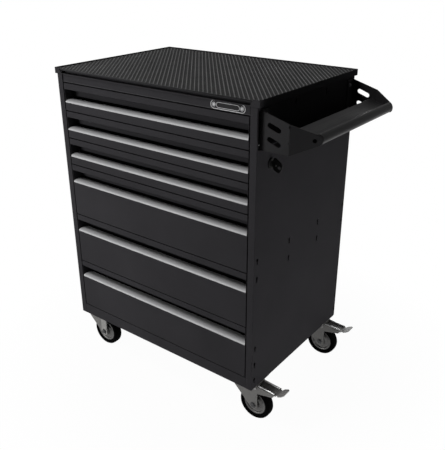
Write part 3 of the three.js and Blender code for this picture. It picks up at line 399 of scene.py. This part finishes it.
def make_materials(finish, sizes):
    rough, gloss = finish.paint_roughness, finish.paint_gloss
    along_x, along_y, pressed, turned = (1, 60, 60), (60, 1, 60), (12, 12, 3), (20, 20, 20)
    painted("powder coat", finish.paint, finish, sizes, rough, gloss)
    painted(
        "handle coat", finish.handle_paint, finish, sizes,
        finish.handle_roughness, finish.handle_gloss, wear=0.35,
    )
    # Lighter paint for the painted highlight along the apron's fold.
    painted("fold highlight coat", finish.edge_wear_and_highlight, finish, sizes, rough, gloss)
    metal("grip aluminium", finish.grip, 0.55, along_x, metallic=0.1)
    metal("slide zinc", finish.zinc, 0.36, along_y, metallic=0.9)
    metal("shaded rack zinc", finish.rack, 0.5, along_y, metallic=0.2)
    metal("castor steel", finish.fork, 0.5, pressed, metallic=0.25, swing=0.12, wear=0.5)
    metal("leg steel", finish.leg_reflection, 0.5, pressed, metallic=0.25, swing=0.12, wear=0.5)
    # A lit copy of the castor steel: painted light on the pedals.
    metal("lit pedal steel", finish.pedal, 0.5, pressed, metallic=0.1, swing=0.12, wear=0.4)
    metal("rolled steel", finish.polish, 0.3, (2, 40, 40), metallic=0.9)
    metal("rim steel", finish.rim, 0.35, (8, 8, 8), metallic=0.5, wear=0.3)
    metal("bolt steel", finish.bolt, 0.42, turned, metallic=0.8, wear=0.4)
    metal("badge outline", finish.badge, 0.6, along_x, metallic=0.0)
    plastic("tyre rubber", finish.tyre, 0.75, 0.01, 0.9 * MM, 0.06 * MM, 0.2)
    plastic("lock plastic", finish.lock, 0.45, 0.06, 0.8 * MM)
    plastic("mat border", finish.mat_border, 0.6, 0.05, 0.9 * MM)
    plastic("gap black", finish.gap, 0.8, 0.0, 1.0 * MM)
    mat_rubber(finish, sizes)


# Shapes


def finish_nodes(names, material, radius=0.0, angle=30.0):
    """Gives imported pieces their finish, and rounds their edges where a radius is given."""
    for name in names:
        piece = NODES[name]
        if piece.material_slots:
            for slot in piece.material_slots:
                slot.material = MATERIALS[material]
        else:
            piece.data.materials.append(MATERIALS[material])
        weld = piece.modifiers.new("weld", "WELD")
        weld.merge_threshold = 1e-5
        if radius:
            planes = piece.modifiers.new("planes", "DECIMATE")
            planes.decimate_type = "DISSOLVE"
            planes.angle_limit = math.radians(0.5)
            bevel = piece.modifiers.new("edges", "BEVEL")
            bevel.width = radius
            bevel.segments = 2
            bevel.limit_method = "ANGLE"
            bevel.angle_limit = math.radians(angle)
            bevel.use_clamp_overlap = False


def new_piece(name, mesh, materials, body):
    """An object that rides on a body, with its finishes in the order of the faces' indices."""
    data = bpy.data.meshes.new(name)
    mesh.to_mesh(data)
    mesh.free()
    for material in materials:
        data.materials.append(MATERIALS[material])
    piece = bpy.data.objects.new(name, data)
    bpy.context.scene.collection.objects.link(piece)
    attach(piece, body)
    return piece


def smooth(mesh, angle=35.0):
    """Smooth faces with sharp creases."""
    mesh.normal_update()
    limit = math.radians(angle)
    for face in mesh.faces:
        face.smooth = True
    for edge in mesh.edges:
        if len(edge.link_faces) == 2 and edge.calc_face_angle(0.0) > limit:
            edge.smooth = False


def fillet(points, radius, steps=3):
    """A closed outline with its corners rounded."""
    rounded = []
    count = len(points)
    for i, here in enumerate(points):
        here = Vector(here)
        before = Vector(points[i - 1]) - here
        after = Vector(points[(i + 1) % count]) - here
        turn = before.angle(after, math.pi)
        if turn > math.radians(172):
            rounded.append(tuple(here))
            continue
        reach = min(radius / math.tan(turn / 2), 0.45 * before.length, 0.45 * after.length)
        start = here + before.normalized() * reach
        end = here + after.normalized() * reach
        for step in range(steps + 1):
            t = step / steps
            point = start * (1 - t) ** 2 + here * 2 * t * (1 - t) + end * t**2
            rounded.append(tuple(point))
    return rounded


def axis_turn(axis):
    return Vector((0, 0, 1)).rotation_difference(Vector(axis)).to_matrix().to_4x4()


def add_shell(mesh, loops, capped, material=0):
    """Walls from loop to loop of corners, closed by the end loops or round to the first one."""
    made = [mesh.faces.new(loops[0]), mesh.faces.new(loops[-1])] if capped else []
    onward = loops[1:] if capped else loops[1:] + loops[:1]
    for loop, other in zip(loops, onward):
        for i in range(len(loop)):
            k = (i + 1) % len(loop)
            made.append(mesh.faces.new([loop[i], loop[k], other[k], other[i]]))
    for face in made:
        face.material_index = material
    bmesh.ops.recalc_face_normals(mesh, faces=made)


def add_lathe(mesh, profile, segments, centre, axis, material=0):
    """Turns a closed outline of (radius, height) round an axis through a point."""
    place = Matrix.Translation(centre) @ axis_turn(axis)
    rings = []
    for radius, height in profile:
        if radius < 1e-7:
            rings.append([mesh.verts.new(place @ Vector((0, 0, height)))])
            continue
        rings.append([
            mesh.verts.new(place @ Vector((
                radius * math.cos(math.tau * i / segments),
                radius * math.sin(math.tau * i / segments),
                height,
            )))
            for i in range(segments)
        ])
    made = []
    for j, ring in enumerate(rings):
        other = rings[(j + 1) % len(rings)]
        if len(ring) == 1 and len(other) == 1:
            continue
        for i in range(segments):
            k = (i + 1) % segments
            if len(ring) == 1:
                corners = [ring[0], other[k], other[i]]
            elif len(other) == 1:
                corners = [ring[i], ring[k], other[0]]
            else:
                corners = [ring[i], ring[k], other[k], other[i]]
            face = mesh.faces.new(corners)
            face.material_index = material
            made.append(face)
    bmesh.ops.recalc_face_normals(mesh, faces=made)


def add_hex_bolt(mesh, centre, axis, radius, height, washer):
    """Washer, six-sided head with a turned top, and a shallow dish in it."""
    bore, rim = 0.4 * radius, 1.35 * radius
    ring = fillet([(bore, 0), (rim, 0), (rim, washer), (bore, washer)], 0.2 * MM)
    add_lathe(mesh, ring, FITTING_STEPS, centre, axis)
    place = Matrix.Translation(centre) @ axis_turn(axis)
    angles = [math.tau * i / 6 for i in range(6)]
    add_shell(mesh, [
        [mesh.verts.new(place @ Vector((radius * math.cos(a), radius * math.sin(a), h))) for a in angles]
        for h in (washer, washer + 0.82 * height)
    ], capped=True)
    top = washer + height
    neck, shoulder, dish = washer + 0.5 * height, washer + 0.8 * height, top - 0.1 * height
    crown = [
        (0, neck), (0.9 * radius, neck), (0.9 * radius, shoulder),
        (0.78 * radius, top), (0.55 * radius, top), (0.5 * radius, dish), (0, dish),
    ]
    add_lathe(mesh, crown, FITTING_STEPS, centre, axis)


def add_dome(mesh, centre, axis, radius, height, material=0):
    """Round rivet or button head."""
    arc = [
        (radius * math.cos(math.radians(a)), height * math.sin(math.radians(a)))
        for a in range(0, 90, 15)
    ]
    profile = [(0, -SUNK), (radius, -SUNK), *arc, (0, height)]
    add_lathe(mesh, profile, FITTING_STEPS, centre, axis, material)


def box_middle(node):
    """Middle and half extents of a piece's box."""
    low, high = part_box(node)
    return (low + high) / 2, (high - low) / 2


class CabinetOperator(bpy.types.Operator):
    """Shared access to the cabinet's settings"""

    bl_options = {"REGISTER", "UNDO"}

    def settings(self, context):
        sizes = context.scene.cabinet_sizes
        if not MATERIALS:
            make_materials(context.scene.cabinet_finish, sizes)
        return sizes


class CABINET_OT_body(CabinetOperator):
    """Coats the carcass and the worktop, rivets the back and lays a painted highlight along the apron's
    fold
    """

    bl_idname = "cabinet.body"
    bl_label = "Body"

    def execute(self, context):
        sizes = self.settings(context)
        finish_nodes(["left_side_panel", "right_side_panel"], "powder coat")
        finish_nodes(["back_panel", "base_panel", "worktop"], "powder coat", sizes.edge_radius)
        finish_nodes(["left_slide_rack", "right_slide_rack"], "shaded rack zinc", 0.0003)
        self.back_rivets(sizes)
        self.apron_fold_highlight()
        return {"FINISHED"}

    def back_rivets(self, sizes):
        """A row of rivets up each side of the back."""
        low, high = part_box("back_panel")
        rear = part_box("left_side_panel")[1].y
        inset, end, spaces = 10 * MM, 40 * MM, 5
        pitch = (high.z - low.z - 2 * end) / spaces
        mesh = bmesh.new()
        for x in (low.x + inset, high.x - inset):
            for step in range(spaces + 1):
                place = (x, rear, low.z + end + step * pitch)
                add_dome(mesh, place, (0, 1, 0), sizes.rivet_radius, 1.4 * MM)
        smooth(mesh)
        new_piece("back_rivets", mesh, ["powder coat"], "cabinet")

    def apron_fold_highlight(self):
        """A rounded rod along the top of the apron, under the lid's groove, in a lighter coat: a painted
        highlight of the fold.
        """
        low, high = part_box("worktop")
        radius, end = 0.7 * MM, 21 * MM
        run = high.x - low.x - 2 * end
        start = Vector((low.x + end, low.y + 4.3 * MM, low.z + 1.3 * MM))
        rod = [(0, 0), (radius, radius), (radius, run - radius), (0, run)]
        mesh = bmesh.new()
        add_lathe(mesh, rod, 12, start, (1, 0, 0))
        smooth(mesh)
        new_piece("apron_fold_highlight", mesh, ["fold highlight coat"], "cabinet")


class CABINET_OT_mat(CabinetOperator):
    """Moulds the mat on the worktop: a net of raised diamonds with a pit in each"""

    bl_idname = "cabinet.mat"
    bl_label = "Mat"

    def net(self, mesh, sizes, low, high):
        """Bold ridges to the left and back, thin ones across them, and a sloping pit in each diamond."""
        along = Vector((-sizes.mat_cell_width / 2, sizes.mat_cell_depth / 2, 0))
        across = Vector((sizes.mat_cell_width / 2, sizes.mat_cell_depth / 2, 0))
        pitch = sizes.mat_cell_width * sizes.mat_cell_depth / (2 * along.length)
        bold, thin = sizes.mat_ridge_width / 2, sizes.mat_cross_width / 2
        slope, crown = 0.6 * MM, 0.1 * MM
        steps = (
            (thin / pitch, bold / pitch, high.z - crown),
            ((thin + slope) / pitch, (bold + slope) / pitch, high.z - sizes.mat_pit_depth),
        )
        origin = Vector(((low.x + high.x) / 2, low.y, 0))
        shared = {}

        def crossing(i, j):
            if (i, j) not in shared:
                place = origin + i * along + j * across
                shared[i, j] = mesh.verts.new((place.x, place.y, high.z))
            return shared[i, j]

        count = int((high.x - low.x + high.y - low.y) / sizes.mat_cell_width) + 4
        for i in range(-count, count):
            for j in range(-count, count):
                middle = origin + (i + 0.5) * along + (j + 0.5) * across
                if abs(middle.x - origin.x) > (high.x - low.x) / 2 + sizes.mat_cell_width:
                    continue
                if not low.y - sizes.mat_cell_depth < middle.y < high.y + sizes.mat_cell_depth:
                    continue
                outer = [crossing(i, j), crossing(i + 1, j), crossing(i + 1, j + 1), crossing(i, j + 1)]
                for inset_i, inset_j, z in steps:
                    inner = []
                    for a, b in (
                        (inset_i, inset_j), (1 - inset_i, inset_j),
                        (1 - inset_i, 1 - inset_j), (inset_i, 1 - inset_j),
                    ):
                        place = origin + (i + a) * along + (j + b) * across
                        inner.append(mesh.verts.new((place.x, place.y, z)))
                    for k in range(4):
                        n = (k + 1) % 4
                        mesh.faces.new([outer[k], outer[n], inner[n], inner[k]])
                    outer = inner
                mesh.faces.new(outer)

    def trim(self, mesh, low, high):
        """Cuts the net just inside the mat's edge, and closes it with walls and an underside."""
        tuck = 0.5 * MM
        for place, outward in (
            ((low.x + tuck, 0, 0), (-1, 0, 0)), ((high.x - tuck, 0, 0), (1, 0, 0)),
            ((0, low.y + tuck, 0), (0, -1, 0)), ((0, high.y - tuck, 0), (0, 1, 0)),
        ):
            everything = [*mesh.verts, *mesh.edges, *mesh.faces]
            bmesh.ops.bisect_plane(
                mesh, geom=everything, dist=1e-6, plane_co=place, plane_no=outward, clear_outer=True
            )
        rim = [edge for edge in mesh.edges if edge.is_boundary]
        made = bmesh.ops.extrude_edge_only(mesh, edges=rim)["geom"]
        for item in made:
            if isinstance(item, bmesh.types.BMVert):
                item.co.z = low.z
        under = [item for item in made if isinstance(item, bmesh.types.BMEdge)]
        bmesh.ops.edgeloop_fill(mesh, edges=[edge for edge in under if edge.is_boundary])
        bmesh.ops.recalc_face_normals(mesh, faces=mesh.faces)

    def border(self, mesh, low, high, width):
        """A plain border round the net, with a small chamfer outside."""
        chamfer = 0.4 * MM
        steps = (
            (0, low.z), (0, high.z - chamfer), (chamfer, high.z), (width, high.z), (width, low.z),
        )
        loops = [
            [
                mesh.verts.new((x, y, z)) for x, y in (
                    (low.x + inset, low.y + inset), (high.x - inset, low.y + inset),
                    (high.x - inset, high.y - inset), (low.x + inset, high.y - inset),
                )
            ]
            for inset, z in steps
        ]
        add_shell(mesh, loops, capped=False, material=1)

    def execute(self, context):
        sizes = self.settings(context)
        low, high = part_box("top_mat")
        mesh = bmesh.new()
        self.net(mesh, sizes, low, high)
        self.trim(mesh, low, high)
        self.border(mesh, low, high, sizes.mat_border)
        smooth(mesh, 60)
        mat = new_piece("mat_net", mesh, ["mat rubber", "mat border"], "cabinet")
        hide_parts("top_mat")
        return {"FINISHED"}


class CABINET_OT_drawers(CabinetOperator):
    """Coats the drawers, finishes their grips and slides, and lays a black band of painted shade in each
    finger recess
    """

    bl_idname = "cabinet.drawers"
    bl_label = "Drawers"

    def execute(self, context):
        sizes = self.settings(context)
        finish_nodes([f"{name}_box" for name in DRAWERS], "powder coat", sizes.edge_radius)
        finish_nodes([f"{name}_grip" for name in DRAWERS], "grip aluminium", 0.0003, 40.0)
        for hand in ("left", "right"):
            finish_nodes([f"{name}_slide_{hand}" for name in DRAWERS], "slide zinc", 0.0003)
        for name in DRAWERS:
            self.strip(name)
        return {"FINISHED"}

    def strip(self, name):
        """A black band along the foot of the finger recess, behind the grip: painted shade where the
        recess lies in deep shade.
        """
        low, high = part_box(f"{name}_grip")
        foot, top = low.z + 4.5 * MM, low.z + 12.5 * MM
        front, rear = high.y + 2.9 * MM, high.y + 3.7 * MM
        outline = [(low.x, foot), (high.x, foot), (high.x, top), (low.x, top)]
        mesh = bmesh.new()
        loops = [[mesh.verts.new((x, y, z)) for x, z in outline] for y in (front, rear)]
        add_shell(mesh, loops, capped=True)
        new_piece(f"{name}_strip", mesh, ["gap black"], name)


class CABINET_OT_badge(CabinetOperator):
    """Fixes a bare badge plate with two rivets to the apron"""

    bl_idname = "cabinet.badge"
    bl_label = "Badge"

    def stadium(self, mesh, half, radius, centre, height):
        """Corners of a long outline with round ends, at a height over the apron."""
        turn = [math.radians(a) for a in range(-90, 91, 10)]
        right = [(half - radius + radius * math.cos(a), radius * math.sin(a)) for a in turn]
        outline = right + [(-x, -y) for x, y in right]
        return [mesh.verts.new(centre + Vector((a, -height, b))) for a, b in outline]

    def ring(self, mesh, half, radius, width, centre, low, high):
        """A raised outline, as an outer and an inner wall with a flat top."""
        outer, inner = (half, radius), (half - width, radius - width)
        steps = ((outer, low), (outer, high), (inner, high), (inner, low))
        loops = [self.stadium(mesh, *size, centre, height) for size, height in steps]
        add_shell(mesh, loops, capped=False, material=1)

    def execute(self, context):
        sizes = self.settings(context)
        worktop_low, worktop_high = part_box("worktop")
        middle = (worktop_low.x + worktop_high.x) / 2
        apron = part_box("left_side_panel")[0].y + 2 * MM
        centre = Vector((middle + sizes.badge_reach, apron, worktop_low.z + 12 * MM))
        half, radius = sizes.badge_length / 2, sizes.badge_height / 2
        thickness, foot = 0.6 * MM, 0.4 * MM
        mesh = bmesh.new()
        loops = [self.stadium(mesh, half, radius, centre, height) for height in (-SUNK, thickness)]
        add_shell(mesh, loops, capped=True)
        self.ring(mesh, half, radius, 1.4 * MM, centre, foot, 1.1 * MM)
        self.ring(mesh, half - 16.5 * MM, radius - 3.6 * MM, 1.0 * MM, centre, foot, 0.9 * MM)
        bore, rim, top = 4.4 * MM, 5.2 * MM, 0.4 * MM
        collar = [(bore, -SUNK), (rim, -SUNK), (rim, top), (bore, top)]
        for side in (-1, 1):
            place = centre + Vector((side * (half - 9.5 * MM), -thickness, 0))
            add_dome(mesh, place, (0, -1, 0), sizes.rivet_radius, 1.2 * MM, 1)
            add_lathe(mesh, collar, FITTING_STEPS, place, (0, -1, 0), 1)
        smooth(mesh)
        new_piece("badge_plate", mesh, ["handle coat", "badge outline"], "cabinet")
        return {"FINISHED"}


class CABINET_OT_lock(CabinetOperator):
    """Finishes the lock, its key and its bar"""

    bl_idname = "cabinet.lock"
    bl_label = "Lock"

    def execute(self, context):
        self.settings(context)
        finish_nodes(["lock_key"], "lock plastic", 0.0004)
        finish_nodes(["lock_bar"], "slide zinc", 0.0003)
        low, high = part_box("lock_barrel")
        centre = (low + high) / 2
        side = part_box("right_side_panel")[1].x
        bore, sleeve, flange = 6.3 * MM, 9.5 * MM, (high.z - low.z) / 2
        seat = side + 0.3 * MM
        bezel = fillet([
            (bore, low.x), (sleeve, low.x), (sleeve, seat), (flange, seat),
            (flange, high.x - 1.4 * MM), (flange - 1.6 * MM, high.x), (bore, high.x),
        ], 0.5 * MM)
        mesh = bmesh.new()
        profile = [(radius, x - centre.x) for radius, x in bezel]
        add_lathe(mesh, profile, 48, centre, (1, 0, 0))
        smooth(mesh)
        barrel = new_piece("lock_bezel", mesh, ["lock plastic"], "cabinet")
        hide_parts("lock_barrel")
        bow = box_middle("lock_key")[0].y
        mesh = bmesh.new()
        rivet = (side + 15 * MM, bow - 1.5 * MM, centre.z - 3 * MM)
        add_dome(mesh, rivet, (0, -1, 0), 2.2 * MM, 0.8 * MM)
        smooth(mesh)
        new_piece("key_rivet", mesh, ["bolt steel"], "key")
        return {"FINISHED"}


class CABINET_OT_handle(CabinetOperator):
    """Coats the push handle and fits its bolts"""

    bl_idname = "cabinet.handle"
    bl_label = "Push handle"

    def execute(self, context):
        sizes = self.settings(context)
        names = ["push_handle_front_bracket", "push_handle_rear_bracket", "push_handle_bar"]
        finish_nodes(names, "handle coat", sizes.edge_radius)
        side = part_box("right_side_panel")[1].x
        bend, slope = side + 77 * MM, math.radians(31)  # where the brackets turn inwards, and how far
        seat = side + 2.8 * MM  # on the brackets' flanges, which lie on the side panel
        mesh = bmesh.new()
        for name, turn in (("push_handle_front_bracket", 1), ("push_handle_rear_bracket", -1)):
            low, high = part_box(name)
            outer = low.y if turn > 0 else high.y
            bolt_x = high.x - 15.4 * MM
            inward = (bolt_x - bend) * math.tan(slope)
            place = (bolt_x, outer + turn * inward, high.z - 55.8 * MM)
            axis = (math.sin(slope), -turn * math.cos(slope), 0)
            # A black dome where the bracket's bolt hole shows dark: painted shade.
            add_dome(mesh, place, axis, 4.6 * MM, 1.2 * MM, 1)
            flange = outer + turn * 20 * MM
            for z in (low.z + 14 * MM, high.z - 14 * MM):
                add_hex_bolt(mesh, (seat, flange, z), (1, 0, 0), 4.2 * MM, 2.8 * MM, 0.8 * MM)
        smooth(mesh)
        new_piece("push_handle_bolts", mesh, ["bolt steel", "gap black"], "cabinet")
        return {"FINISHED"}


class CABINET_OT_castors(CabinetOperator):
    """Builds the castors' wheels, axles and bolts"""

    bl_idname = "cabinet.castors"
    bl_label = "Castors"

    def wheel_piece(self, name, old, new, side, rounding, steps, crease, material, slot, sizes):
        """Turns half of a wheel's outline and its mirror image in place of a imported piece."""
        centre = box_middle(f"{name}_{old}")[0]
        profile = fillet(side + [(r, -h) for r, h in reversed(side)], rounding, steps)
        mesh = bmesh.new()
        add_lathe(mesh, profile, sizes.wheel_segments, centre, (0, 1, 0))
        smooth(mesh, crease)
        piece = new_piece(f"{name}_{new}", mesh, [material], f"{name}_wheel")
        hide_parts(f"{name}_{old}")

    def tyre(self, name, sizes):
        extent = box_middle(f"{name}_tyre")[1]
        radius, half = extent.x, extent.y
        seat = radius - 13.7 * MM
        side = [
            (seat, 10.5 * MM), (seat + 1.5 * MM, 11.6 * MM), (seat + 3.5 * MM, 12.2 * MM),
            (radius - 8 * MM, half), (radius - 3.4 * MM, half - 1.1 * MM),
            (radius - 0.9 * MM, half - 4.6 * MM), (radius, half - 10 * MM),
        ]
        self.wheel_piece(name, "tyre", "tread", side, 2.5 * MM, 3, 50, "tyre rubber", "tyre", sizes)

    def rim(self, name, sizes):
        extent = box_middle(f"{name}_rim")[1]
        outer, hub_half = extent.x, extent.y
        side = [
            (6.3 * MM, hub_half), (9.5 * MM, hub_half), (10 * MM, hub_half - 1.2 * MM),
            (14 * MM, hub_half - 1.6 * MM), (14.6 * MM, 9 * MM), (17.5 * MM, 6.5 * MM),
            (24 * MM, 5.2 * MM), (28.5 * MM, 6.2 * MM), (30 * MM, 9.4 * MM),
            (outer - 1.5 * MM, 11 * MM), (outer, 10.6 * MM),
        ]
        self.wheel_piece(name, "rim", "disc", side, 0.7 * MM, 2, 30, "rim steel", "wheel", sizes)

    def axle(self, name):
        centre, extent = box_middle(f"{name}_axle")
        radius, seat = 6 * MM, extent.y - 4 * MM
        mesh = bmesh.new()
        stem = [(0, -seat), (radius, -seat), (radius, seat), (0, seat)]
        add_lathe(mesh, stem, 32, centre, (0, 1, 0))
        for turn in (-1, 1):
            place = centre + Vector((0, turn * seat, 0))
            add_hex_bolt(mesh, place, (0, turn, 0), 6.6 * MM, 3.0 * MM, 0.9 * MM)
        smooth(mesh)
        piece = new_piece(f"{name}_bolt", mesh, ["bolt steel"], f"{name}_swivel")
        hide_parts(f"{name}_axle")

    def legs(self, name):
        """The pressed faces of the fork's legs, round at the axle, in a lighter steel: a painted
        reflection on the legs.
        """
        centre, extent = box_middle(f"{name}_axle")
        half = extent.y - 4.3 * MM
        radius, rise = 12.2 * MM, 62 * MM
        turn = [math.radians(a) for a in range(180, 361, 15)]
        outline = [(radius * math.cos(a), radius * math.sin(a)) for a in turn]
        outline += [(radius, rise), (-radius, rise)]
        mesh = bmesh.new()
        for side in (-1, 1):
            loops = [
                [mesh.verts.new(centre + Vector((x, side * (half + out), z))) for x, z in outline]
                for out in (-0.1 * MM, 0.25 * MM)
            ]
            add_shell(mesh, loops, capped=True)
        new_piece(f"{name}_legs", mesh, ["leg steel"], f"{name}_swivel")

    def rolled_edges(self, name):
        """Bright rolled edges over the pedal's flanges."""
        centre = box_middle(f"{name}_axle")[0]
        slope = math.atan2(4, 56)  # the pedal's fall over its run
        axis = (math.cos(slope), 0, -math.sin(slope))
        run, radius, chamfer = 52 * MM, 2.7 * MM, 0.4 * MM
        rod = [
            (0, 0), (radius - chamfer, 0), (radius, chamfer),
            (radius, run - chamfer), (radius - chamfer, run), (0, run),
        ]
        mesh = bmesh.new()
        for side in (-1, 1):
            place = centre + Vector((14.3 * MM, side * 14.8 * MM, 70 * MM))
            add_lathe(mesh, rod, FITTING_STEPS, place, axis)
        smooth(mesh)
        new_piece(f"{name}_rolled_edges", mesh, ["rolled steel"], f"{name}_brake")

    def plate_bolts(self, name, sizes):
        low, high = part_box(f"{name}_plate")
        underside = high.z - 3 * MM
        inset_x, inset_y = 8 * MM, 9 * MM
        mesh = bmesh.new()
        for x in (low.x + inset_x, high.x - inset_x):
            for y in (low.y + inset_y, high.y - inset_y):
                add_hex_bolt(mesh, (x, y, underside), (0, 0, -1), sizes.bolt_radius, 3.0 * MM, 0.8 * MM)
        smooth(mesh)
        new_piece(f"{name}_plate_bolts", mesh, ["bolt steel"], "cabinet")

    def execute(self, context):
        sizes = self.settings(context)
        for name in CASTORS:
            finish_nodes([f"{name}_plate", f"{name}_fork"], "castor steel", 0.0005)
            self.tyre(name, sizes)
            self.rim(name, sizes)
            self.axle(name)
            self.plate_bolts(name, sizes)
            if name not in BRAKED:
                self.legs(name)
        for name in BRAKED:
            finish_nodes([f"{name}_pedal"], "lit pedal steel", 0.0005)
            self.rolled_edges(name)
        return {"FINISHED"}


WHITE = (1.0, 1.0, 1.0, 1.0)

LAMPS = (
    # name, place, target, diameter
    ("key", (-1.0, -1.75, 0.6), (0, 0, 0.5), 0.9),
    ("side", (1.5, -0.1, 0.06), (0.3, 0, 0.3), 0.5),
    ("top", (-0.7, -1.3, 2.6), (0, 0, 0.5), 0.9),
    ("rear", (-0.6, 2.0, 0.6), (0, 0, 0.5), 0.9),
)


class CABINET_OT_studio(CabinetOperator):
    """Lays the pale floor and sets the lamps and the camera"""

    bl_idname = "cabinet.studio"
    bl_label = "Studio"

    def lamp(self, name, place, target, diameter, power):
        data = bpy.data.lights.new(name, "AREA")
        data.energy = power
        data.shape = "DISK"
        data.size = diameter
        lamp = bpy.data.objects.new(name, data)
        lamp.location = place
        direction = Vector(target) - Vector(place)
        lamp.rotation_euler = direction.to_track_quat("-Z", "Y").to_euler()
        bpy.context.scene.collection.objects.link(lamp)

    def whitened(self, tree, surface, kind, shown=1.0):
        """White for the camera and in reflections, and the given surface for all other rays."""
        rays = add_node(tree, "ShaderNodeLightPath").outputs
        glossy = math_node(tree, "MAXIMUM", rays["Is Glossy Ray"], rays["Is Transmission Ray"])
        seen = math_node(tree, "MAXIMUM", rays["Is Camera Ray"], glossy)
        share = math_node(tree, "MULTIPLY", seen, shown)
        white = add_node(tree, kind, {"Color": WHITE, "Strength": 1.0}).outputs[0]
        return add_node(tree, "ShaderNodeMixShader", {0: share, 1: surface, 2: white}).outputs[0]

    def floor(self, studio):
        """A pale floor that turns wholly white away from the cabinet, as the backdrop is."""
        tree, shader = new_material("studio floor")
        skin = add_skin(tree, shader, studio.floor, 4 * MM, 0.01, 0.7, 0.1)
        tree.links.new(skin["Color"], shader.inputs["Base Color"])
        out = next(node for node in tree.nodes if node.type == "OUTPUT_MATERIAL")
        away = add_node(tree, "ShaderNodeVectorMath", {0: object_place(tree)}, operation="LENGTH")
        shown = spread(tree, away.outputs["Value"], 0.97, 1.0, 0.42, 0.85)
        surface = self.whitened(tree, shader.outputs[0], "ShaderNodeEmission", shown)
        tree.links.new(surface, out.inputs["Surface"])
        mesh = bmesh.new()
        bmesh.ops.create_grid(mesh, x_segments=8, y_segments=8, size=12.0)
        data = bpy.data.meshes.new("studio_floor")
        mesh.to_mesh(data)
        mesh.free()
        data.materials.append(MATERIALS["studio floor"])
        floor = bpy.data.objects.new("studio_floor", data)
        bpy.context.scene.collection.objects.link(floor)

    def world(self, studio):
        world = bpy.data.worlds.new("studio world")
        world.use_nodes = True
        tree = world.node_tree
        tree.nodes.clear()
        around = {"Color": WHITE, "Strength": studio.ambient}
        ambient = add_node(tree, "ShaderNodeBackground", around).outputs[0]
        out = add_node(tree, "ShaderNodeOutputWorld")
        surface = self.whitened(tree, ambient, "ShaderNodeBackground")
        tree.links.new(surface, out.inputs["Surface"])
        bpy.context.scene.world = world

    def camera(self, studio):
        """The viewpoint of the photograph: 37 degrees to the right, 24 degrees up."""
        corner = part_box("left_side_panel")[0]
        middle = box_middle("top_mat")[0].x
        target = Vector((middle + 0.0884, corner.y + 0.204, corner.z + 0.355))
        azimuth, elevation, distance = math.radians(37.05), math.radians(24.3), 1.8224
        back = Vector((
            math.sin(azimuth) * math.cos(elevation),
            -math.cos(azimuth) * math.cos(elevation),
            math.sin(elevation),
        ))
        data = bpy.data.cameras.new("camera")
        data.lens = studio.lens
        data.sensor_width = 36.0
        camera = bpy.data.objects.new("camera", data)
        camera.location = target + back * distance
        camera.rotation_euler = (-back).to_track_quat("-Z", "Y").to_euler()
        bpy.context.scene.collection.objects.link(camera)
        bpy.context.scene.camera = camera

    def execute(self, context):
        self.settings(context)
        studio = context.scene.cabinet_studio
        self.floor(studio)
        self.world(studio)
        powers = (studio.key_power, studio.side_power, studio.top_power, studio.rear_power)
        for (name, *placing), power in zip(LAMPS, powers):
            self.lamp(f"{name} lamp", *placing, power)
        self.camera(studio)
        context.scene.view_settings.view_transform = "Standard"
        return {"FINISHED"}


OPERATORS = [
    CABINET_OT_body,
    CABINET_OT_mat,
    CABINET_OT_drawers,
    CABINET_OT_badge,
    CABINET_OT_lock,
    CABINET_OT_handle,
    CABINET_OT_castors,
    CABINET_OT_studio,
]


class CABINET_PT_panel(bpy.types.Panel):
    """Sizes, finishes and steps of the cabinet"""

    bl_idname = "CABINET_PT_panel"
    bl_label = "Roller tool cabinet"
    bl_space_type = "VIEW_3D"
    bl_region_type = "UI"
    bl_category = "Cabinet"

    def draw(self, context):
        scene = context.scene
        for group in (scene.cabinet_sizes, scene.cabinet_finish, scene.cabinet_studio):
            box = self.layout.box()
            for key in group.__annotations__:
                box.prop(group, key)
        for operator in OPERATORS:
            self.layout.operator(operator.bl_idname)


CLASSES = [CabinetFinish, CabinetSizes, CabinetStudio, *OPERATORS, CABINET_PT_panel]


def register():
    for item in CLASSES:
        bpy.utils.register_class(item)
    bpy.types.Scene.cabinet_finish = PointerProperty(type=CabinetFinish)
    bpy.types.Scene.cabinet_sizes = PointerProperty(type=CabinetSizes)
    bpy.types.Scene.cabinet_studio = PointerProperty(type=CabinetStudio)


def unregister():
    del bpy.types.Scene.cabinet_studio
    del bpy.types.Scene.cabinet_sizes
    del bpy.types.Scene.cabinet_finish
    for item in reversed(CLASSES):
        bpy.utils.unregister_class(item)


def main():
    register()
    bpy.ops.cabinet.body()
    bpy.ops.cabinet.mat()
    bpy.ops.cabinet.drawers()
    bpy.ops.cabinet.badge()
    bpy.ops.cabinet.lock()
    bpy.ops.cabinet.handle()
    bpy.ops.cabinet.castors()
    bpy.ops.cabinet.studio()
    bpy.context.view_layer.update()


if __name__ == "__main__":
    main()
